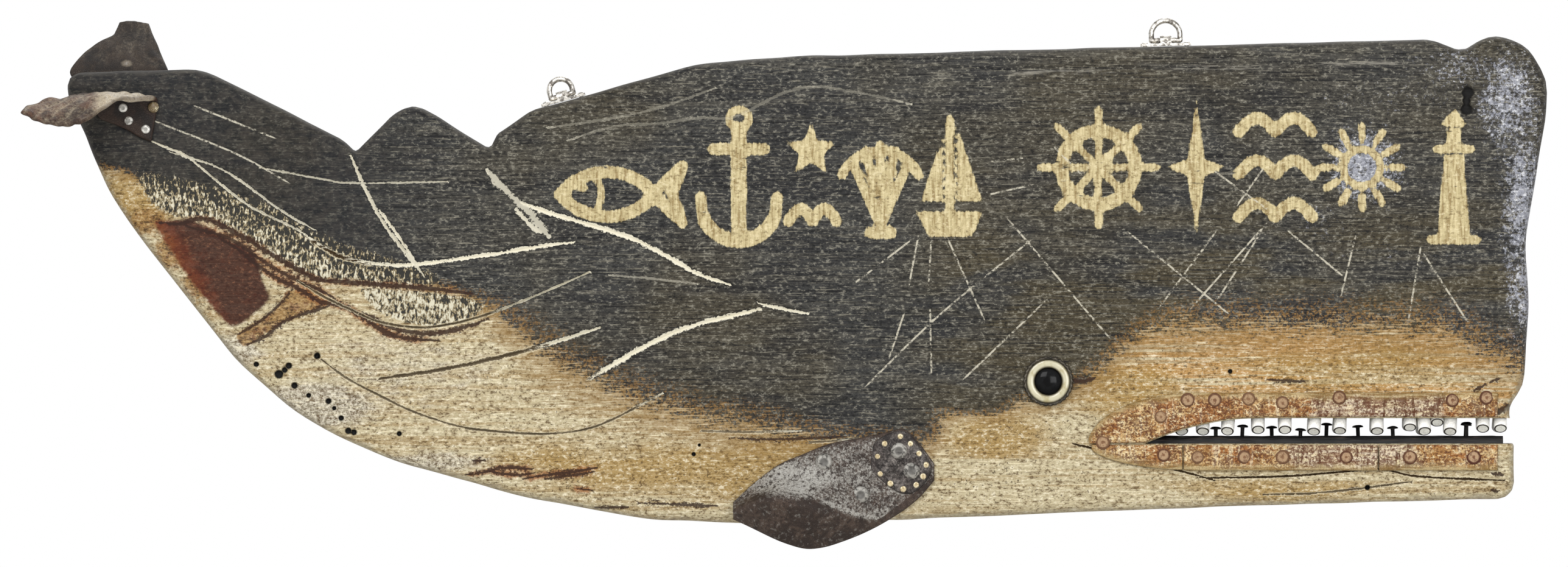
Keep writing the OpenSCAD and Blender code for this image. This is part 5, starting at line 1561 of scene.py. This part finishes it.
def build_fins():
    """Each fin: a blade lofted through rows at its root, slope, fold and hanging edge, creased and rubbed on
    the slope, with a patch of leather, four upholstery tacks and a ring of brass pins over its root."""
    seed = settings().seed + 60
    thick, patch_thick = settings().leather.fin / MM, settings().leather.patch / MM
    c = np.array(FIN_COLUMNS, float)
    mid = -FACE - thick / 2
    out = FIN_OUT * c[:, 4]
    rows = [np.stack([c[:, 0], mid + 0 * out, c[:, 1]], 1),
            np.stack([c[:, 0], mid - out * FIN_LIFT, (c[:, 1] + c[:, 2]) / 2], 1),
            np.stack([c[:, 0], mid - out, c[:, 2]], 1),
            np.stack([c[:, 0], mid - out * FIN_TUCK, c[:, 3]], 1)]
    flat = loft(rows, FIN_DOWN, FIN_ALONG, (14, 34))
    grid = flat
    raised = ease(-FACE - thick / 2 - grid[..., 1], 0.5, 6)
    v = spread(FIN_DOWN)[:, None]
    crease = (0.7 * rough(grid, (26, 20, 9), seed) + 0.35 * rough(grid, (7, 7, 7), seed + 1)) * raised
    diagonal = np.sin((grid[..., 0] * 0.7 + grid[..., 2]) / 5.5 + 1.5 * rough(grid, 16, seed + 2))
    crease = crease + 0.3 * diagonal * raised * ease(v, 0.3, 0.1)
    grid = grid + normals(grid) * crease[..., None] * ease(from_edge(grid), 0, 6)[..., None]
    x, z = flat[..., 0], flat[..., 2]
    above = z - np.interp(x, *zip(*FIN_FOLD))
    # Painted light: the slope above the fold is lighter as sheen, with a highlight oval and one along the fold
    bright = ease(np.hypot((x - 513) / 33, (z - 31) / 15), 1.15, 0.4)
    ridge = ease(np.abs(above - 1.5), 3, 0) * ease(x, 528, 542) * ease(x, 592, 578)
    rub = np.clip(ease(above, -1.5, 2.5) * (0.34 + 0.5 * bright + 0.2 * rough(flat, (14, 14, 8), seed + 3))
                  * ease(v, 0, 0.08) + 0.4 * ridge, 0, 1) * (v < 0.8)
    points, faces, marks = leather(grid, thick, rub=rub)
    pad, pad_faces, pad_marks = patch(seed + 5, thick, patch_thick)
    spots = np.array([t[:2] for t in FIN_TACKS], float)
    outs = np.array([thick + patch_thick if on else fin_skin(x, z) for x, z, on in FIN_TACKS])
    for side in SIDES:
        piece(f"{side}_fin_leather", points, faces, "fin leather", "fin_leather", f"{side}_fin",
              attributes=marks)
        piece(f"{side}_fin_patch_leather", pad, pad_faces, "patch leather", "dark_leather", f"{side}_fin_patch",
              attributes=pad_marks)
        head(f"{side}_fin_upholstery_tacks", spots, outs, 6, 2.2, "upholstery iron", "iron",
             f"{side}_fin_tacks", seed + 7, dent=0.3)
        head(f"{side}_fin_brass_pins", FIN_PINS, thick + patch_thick, 2.2, 1.1, "pin brass", "brass",
             f"{side}_fin_pins", seed + 8, dent=0.08)


def patch(seed, under, thick):
    """Rounded pad over the fin's root: rings shrink from its outline to its middle, its top crumpled in radial
    folds, its underside flat on the fin."""
    outline = flowing(PATCH + PATCH[:2], 1.2)
    centre = np.array(PATCH).mean(0)
    count = 110
    angle = np.linspace(0, 2 * np.pi, count, endpoint=False)
    around = np.unwrap(np.arctan2(*(outline - centre).T[::-1]))
    order = np.argsort(around % (2 * np.pi))
    radius = np.interp(angle, (around % (2 * np.pi))[order], np.linalg.norm(outline - centre, axis=1)[order],
                       period=2 * np.pi)
    share = np.array([1, 0.985, 0.955, 0.9, 0.83, 0.75, 0.66, 0.56, 0.46, 0.36, 0.26, 0.16, 0.07])
    ring = share[:, None] * radius
    flat = np.stack([centre[0] + ring * np.cos(angle), 0 * ring, centre[1] + ring * np.sin(angle)], -1)
    dome = np.sqrt(np.clip(1 - share ** 8, 0, 1))[:, None]
    folds = 0.3 * np.sin(11 * angle + 2 * rough(flat, 12, seed)) * ease(share, 1.0, 0.6)[:, None]
    crumple = 0.35 * rough(flat, (6, 6, 6), seed + 1) + folds + 0.5
    lift = thick * dome + crumple * dome * ease(share, 1, 0.8)[:, None]
    flat[..., 1] = -FACE - under - 0.15 - lift
    top = np.arange(flat[..., 0].size).reshape(flat.shape[:2])
    points = np.concatenate([flat.reshape(-1, 3), [[centre[0], flat[-1, :, 1].mean(), centre[1]],
                                                  [centre[0], -FACE - under + 0.5, centre[1]]]])
    pole, under_pole = len(points) - 2, len(points) - 1
    after = np.roll(top, -1, axis=1)
    faces = round_cells(top).tolist()
    faces += np.stack([top[-1], after[-1], np.full(count, pole)], 1).tolist()
    faces += np.stack([after[0], top[0], np.full(count, under_pole)], 1).tolist()
    rub = np.concatenate([(0.3 + 0.4 * rough(flat, (5, 5, 5), seed + 2)).ravel(), [0.2, 0.2]]).clip(0, 1)
    rim = np.concatenate([np.repeat((1 - share) * radius.mean(), count), [20, 20]])
    return points, faces, {"rub": rub, "rim": rim}


# Flukes: rows from the free edge to the flange, each with its share of how far the edge stands out
RIGHT_FLUKE = [([(-29, 291), (-21, 285), (-10, 282), (2, 281), (13, 283)], 1),
               ([(-26, 295), (-14, 292), (-2, 291), (12, 290), (23, 290)], 0.82),
               ([(-12, 298), (0, 299), (14, 301), (28, 302), (40, 300)], 0.5),
               ([(6, 301), (20, 303.5), (34, 303.5), (48, 303.5), (62, 302)], 0.14),
               ([(16, 299), (28, 300), (40, 300), (52, 300), (66, 299.5)], 0),
               ([(25, 286), (36, 282), (45, 278), (53, 273), (61, 270)], 0)]
LEFT_FLUKE = [([(36, 355), (41, 356), (47, 356), (52, 355), (57, 354)], 1),
              ([(32, 346), (40, 347), (47, 347), (54, 347), (60, 346)], 0.8),
              ([(12, 334), (26, 336), (40, 336), (54, 335), (66, 333)], 0.45),
              ([(1, 320), (20, 321), (38, 321), (56, 321), (72, 320)], 0.1),
              ([(10, 303), (24, 302), (38, 302), (52, 303), (64, 304)], 0)]
FLUKE_OUT = {"right": 62, "left": 34}
FLUKE_LOOK = {"right": ("fluke leather", "fluke_leather"), "left": ("far fluke leather", "dark_leather")}
# Grid points of a fluke, down and along
FLUKE_DOWN, FLUKE_ALONG = 110, 90
FLUKE_TACKS = {"right": [(41, 294), (45, 285), (57, 279)], "left": [(20, 309), (38, 308), (56, 309)]}
PEG_AT = (62.5, 294.5)


def build_flukes():
    """Each fluke: leather lofted from its free edge to the flange nailed on the face, with creases that run
    from root to tip and dry edges that curl."""
    seed = settings().seed + 80
    thick, deep = settings().leather.fluke / MM, settings().leather.crease / MM
    for side, rows in (("right", RIGHT_FLUKE), ("left", LEFT_FLUKE)):
        control = [[(x, -FACE - thick / 2 - FLUKE_OUT[side] * share, z) for x, z in line]
                   for line, share in rows]
        grid = loft(control, FLUKE_DOWN, FLUKE_ALONG, (10, 12))
        free = ease(-FACE - thick / 2 - grid[..., 1], 1, 9)
        broken = 0.55 + 0.45 * rough(grid, (40, 20, 9), seed + 1)
        ridges = np.sin(spread(FLUKE_ALONG) * 34 + 3 * rough(grid, (30, 30, 12), seed)) * broken
        bumps = 0.8 * rough(grid, (14, 14, 14), seed + 2) + 0.35 * rough(grid, (5, 5, 5), seed + 3)
        curl = 1.6 * ease(from_edge(grid), 7, 0) * rough(grid, (11, 11, 11), seed + 4)
        strength = 1.0 if side == "right" else 0.45
        lift = strength * deep * (0.6 * ridges + bumps + curl) * free
        grid = grid + normals(grid) * lift[..., None] * ease(from_edge(grid), -1, 4)[..., None]
        # Lighter on the ridges and bumps that raise the creases: wear, and painted light on their crests
        rub = np.clip(0.4 + 0.5 * (0.6 * ridges + bumps) * free, 0, 1) * free
        if side == "right":
            rub = np.maximum(rub * 0.8, 1.4 * free * ease(grid[..., 0], 14, 32)) + 0.5 * (free - 1)
        else:
            # Painted glint: a near-white spot where a tack head shows on the far fluke
            rub = np.maximum(rub, 2.2 * ease(np.hypot((grid[..., 0] - 42) / 1.6, grid[..., 2] - 325), 3.4, 0.8))
        points, faces, marks = leather(grid, thick, rub=rub)
        piece(f"{side}_fluke_leather", points, faces, *FLUKE_LOOK[side], f"{side}_fluke", attributes=marks)
        head(f"{side}_fluke_nail_heads", FLUKE_TACKS[side], thick, 3.2, 1.6, "pale iron", "iron", "fluke_tacks",
             seed + 5)
    t = np.linspace(0, math.pi / 2, 8)[1:-1]
    knob = ([(0, -3), (1.8, -3), (2.0, 0), (3.6, 0.4)]
            + [(4 * math.cos(a), 0.6 + 3.0 * math.sin(a)) for a in t] + [(0, 3.6)])
    points, faces, _, _ = studs(knob, [(PEG_AT[0], -FACE - thick, PEG_AT[1])], (0, -1, 0), [1], seed + 6,
                                dent=0.2)
    piece("fluke_bone_peg", points, faces, "peg bone", "bone", "fluke_peg")


def dress_hangers():
    """Gives the plates, clips, rings and screws of both hangers a worn plating."""
    for end in ("front", "rear"):
        for part in ("plate", "clip", "ring", "screws"):
            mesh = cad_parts[f"{end}_hanger_{part}"].data
            mesh.materials.clear()
            mesh.materials.append(finish("nickel"))


# Stage

# Pixels of the photograph at the tail's end and at the keel, and the camera's sensor width in millimetres
TAIL_PIXEL, KEEL_PIXEL, SENSOR = 107, 861, 36
# Lamps: place from the sign's middle and size, in metres
LAMPS = {"key": ((-0.9, -2.4, 1.7), 1.6), "fill": ((1.2, -2.4, 0.2), 1.3), "rim": ((0.3, 1.6, 2.0), 1.4)}


def area_light(name, place, aim, power, size):
    """Square lamp at a place, turned to what it lights."""
    data = bpy.data.lights.new(name, "AREA")
    data.shape, data.size, data.energy = "SQUARE", size, power
    obj = bpy.data.objects.new(name, data)
    obj.location = place
    obj.rotation_euler = (Vector(aim) - Vector(place)).to_track_quat("-Z", "Y").to_euler()
    bpy.context.scene.collection.objects.link(obj)


def build_camera():
    """Camera straight on to the right face, with the photograph's framing."""
    distance = settings().stage.distance
    across = PHOTO_WIDE * MM_PER_PIXEL * MM
    centre = ORIGIN + MM * np.array([(PHOTO_WIDE / 2 - TAIL_PIXEL) * MM_PER_PIXEL, 0,
                                     (KEEL_PIXEL - PHOTO_HIGH / 2) * MM_PER_PIXEL])
    data = bpy.data.cameras.new("camera")
    data.sensor_width = SENSOR
    data.lens = SENSOR * distance / across
    data.clip_end = 100
    camera = bpy.data.objects.new("camera", data)
    camera.location = (centre[0], -FACE * MM - distance, centre[2])
    camera.rotation_euler = (math.pi / 2, 0, 0)
    bpy.context.scene.collection.objects.link(camera)
    bpy.context.scene.camera = camera


def build_floor(middle):
    """Round floor under the sign: rings of points about its middle, closed by a small polygon."""
    angle = np.linspace(0, 2 * np.pi, 96, endpoint=False)
    rings = np.array([0.02, 0.3, 0.7, 1.2, 2.0])[:, None]
    points = np.stack([rings * np.cos(angle), rings * np.sin(angle), 0 * rings * angle], -1).reshape(-1, 3)
    index = np.arange(len(points)).reshape(len(rings), -1)
    mesh = bpy.data.meshes.new("floor")
    mesh.from_pydata(points.tolist(), [], round_cells(index).tolist() + [index[0].tolist()])
    mesh.materials.append(finish("floor"))
    floor = bpy.data.objects.new("floor", mesh)
    floor.location = (middle.x, middle.y, CAD_LOW.z - settings().stage.floor_drop)
    bpy.context.scene.collection.objects.link(floor)


def build_room():
    """Room: white to the camera, and an even light on the sign."""
    world = bpy.data.worlds.new("room")
    world.use_nodes = True
    bpy.context.scene.world = world
    g = Graph(world.node_tree)
    light = g.node("Background", Color=(1, 1, 1), Strength=settings().stage.sky)
    white = g.node("Background", Color=(1, 1, 1), Strength=1.0)
    g.node("OutputWorld", Surface=g.blend(g.seen(), light.outputs[0], white.outputs[0]))


def build_stage():
    """Camera straight on, pale floor under the hanging sign, three soft lamps and a white room."""
    bpy.context.scene.view_settings.view_transform = "Standard"
    middle = (CAD_LOW + CAD_HIGH) / 2
    build_camera()
    build_floor(middle)
    for name, (away, size) in LAMPS.items():
        area_light(f"{name} light", middle + Vector(away), middle, getattr(settings().stage, name), size)
    build_room()


def operator(name, label, *steps):
    """An operator class that runs the given build functions in order, with their docstrings as its own."""
    def execute(self, context):
        for step in steps:
            step()
        return {"FINISHED"}
    text = " ".join(" ".join(step.__doc__ for step in steps).split())
    return type("WHALESIGN_OT_" + name, (bpy.types.Operator,),
                {"bl_idname": "whale_sign." + name, "bl_label": label, "__doc__": text, "execute": execute})


STEPS = [operator("plank", "Painted plank", build_plank, build_strip),
         operator("mouth", "Teeth and nails", build_teeth, build_nails),
         operator("eyes", "Glass eyes", build_eyes), operator("lips", "Leather lips", build_lips),
         operator("fins", "Leather fins", build_fins), operator("flukes", "Leather flukes", build_flukes),
         operator("hangers", "Hangers", dress_hangers), operator("stage", "Stage", build_stage)]


class WHALESIGN_PT_panel(bpy.types.Panel):
    """Lists the sign's sizes and colours, and the steps that make it."""
    bl_label = "Whale Sign"
    bl_space_type = "VIEW_3D"
    bl_region_type = "UI"
    bl_category = "Whale Sign"

    def draw(self, context):
        values = context.scene.whale_sign
        for part in (values.paint, values.carving, values.leather, values.stage):
            box = self.layout.box()
            for key in part.bl_rna.properties.keys():
                if key not in ("rna_type", "name"):
                    box.prop(part, key)
        for step in STEPS:
            self.layout.operator(step.bl_idname)


CLASSES = [WhaleSignPaint, WhaleSignCarving, WhaleSignLeather, WhaleSignStage, WhaleSignSettings, *STEPS,
           WHALESIGN_PT_panel]


def register():
    for cls in CLASSES:
        bpy.utils.register_class(cls)
    bpy.types.Scene.whale_sign = PointerProperty(type=WhaleSignSettings)


def unregister():
    del bpy.types.Scene.whale_sign
    for cls in reversed(CLASSES):
        bpy.utils.unregister_class(cls)


def main():
    register()
    for step in STEPS:
        getattr(bpy.ops.whale_sign, step.bl_idname.split(".")[1])()


if __name__ == "__main__":
    main()
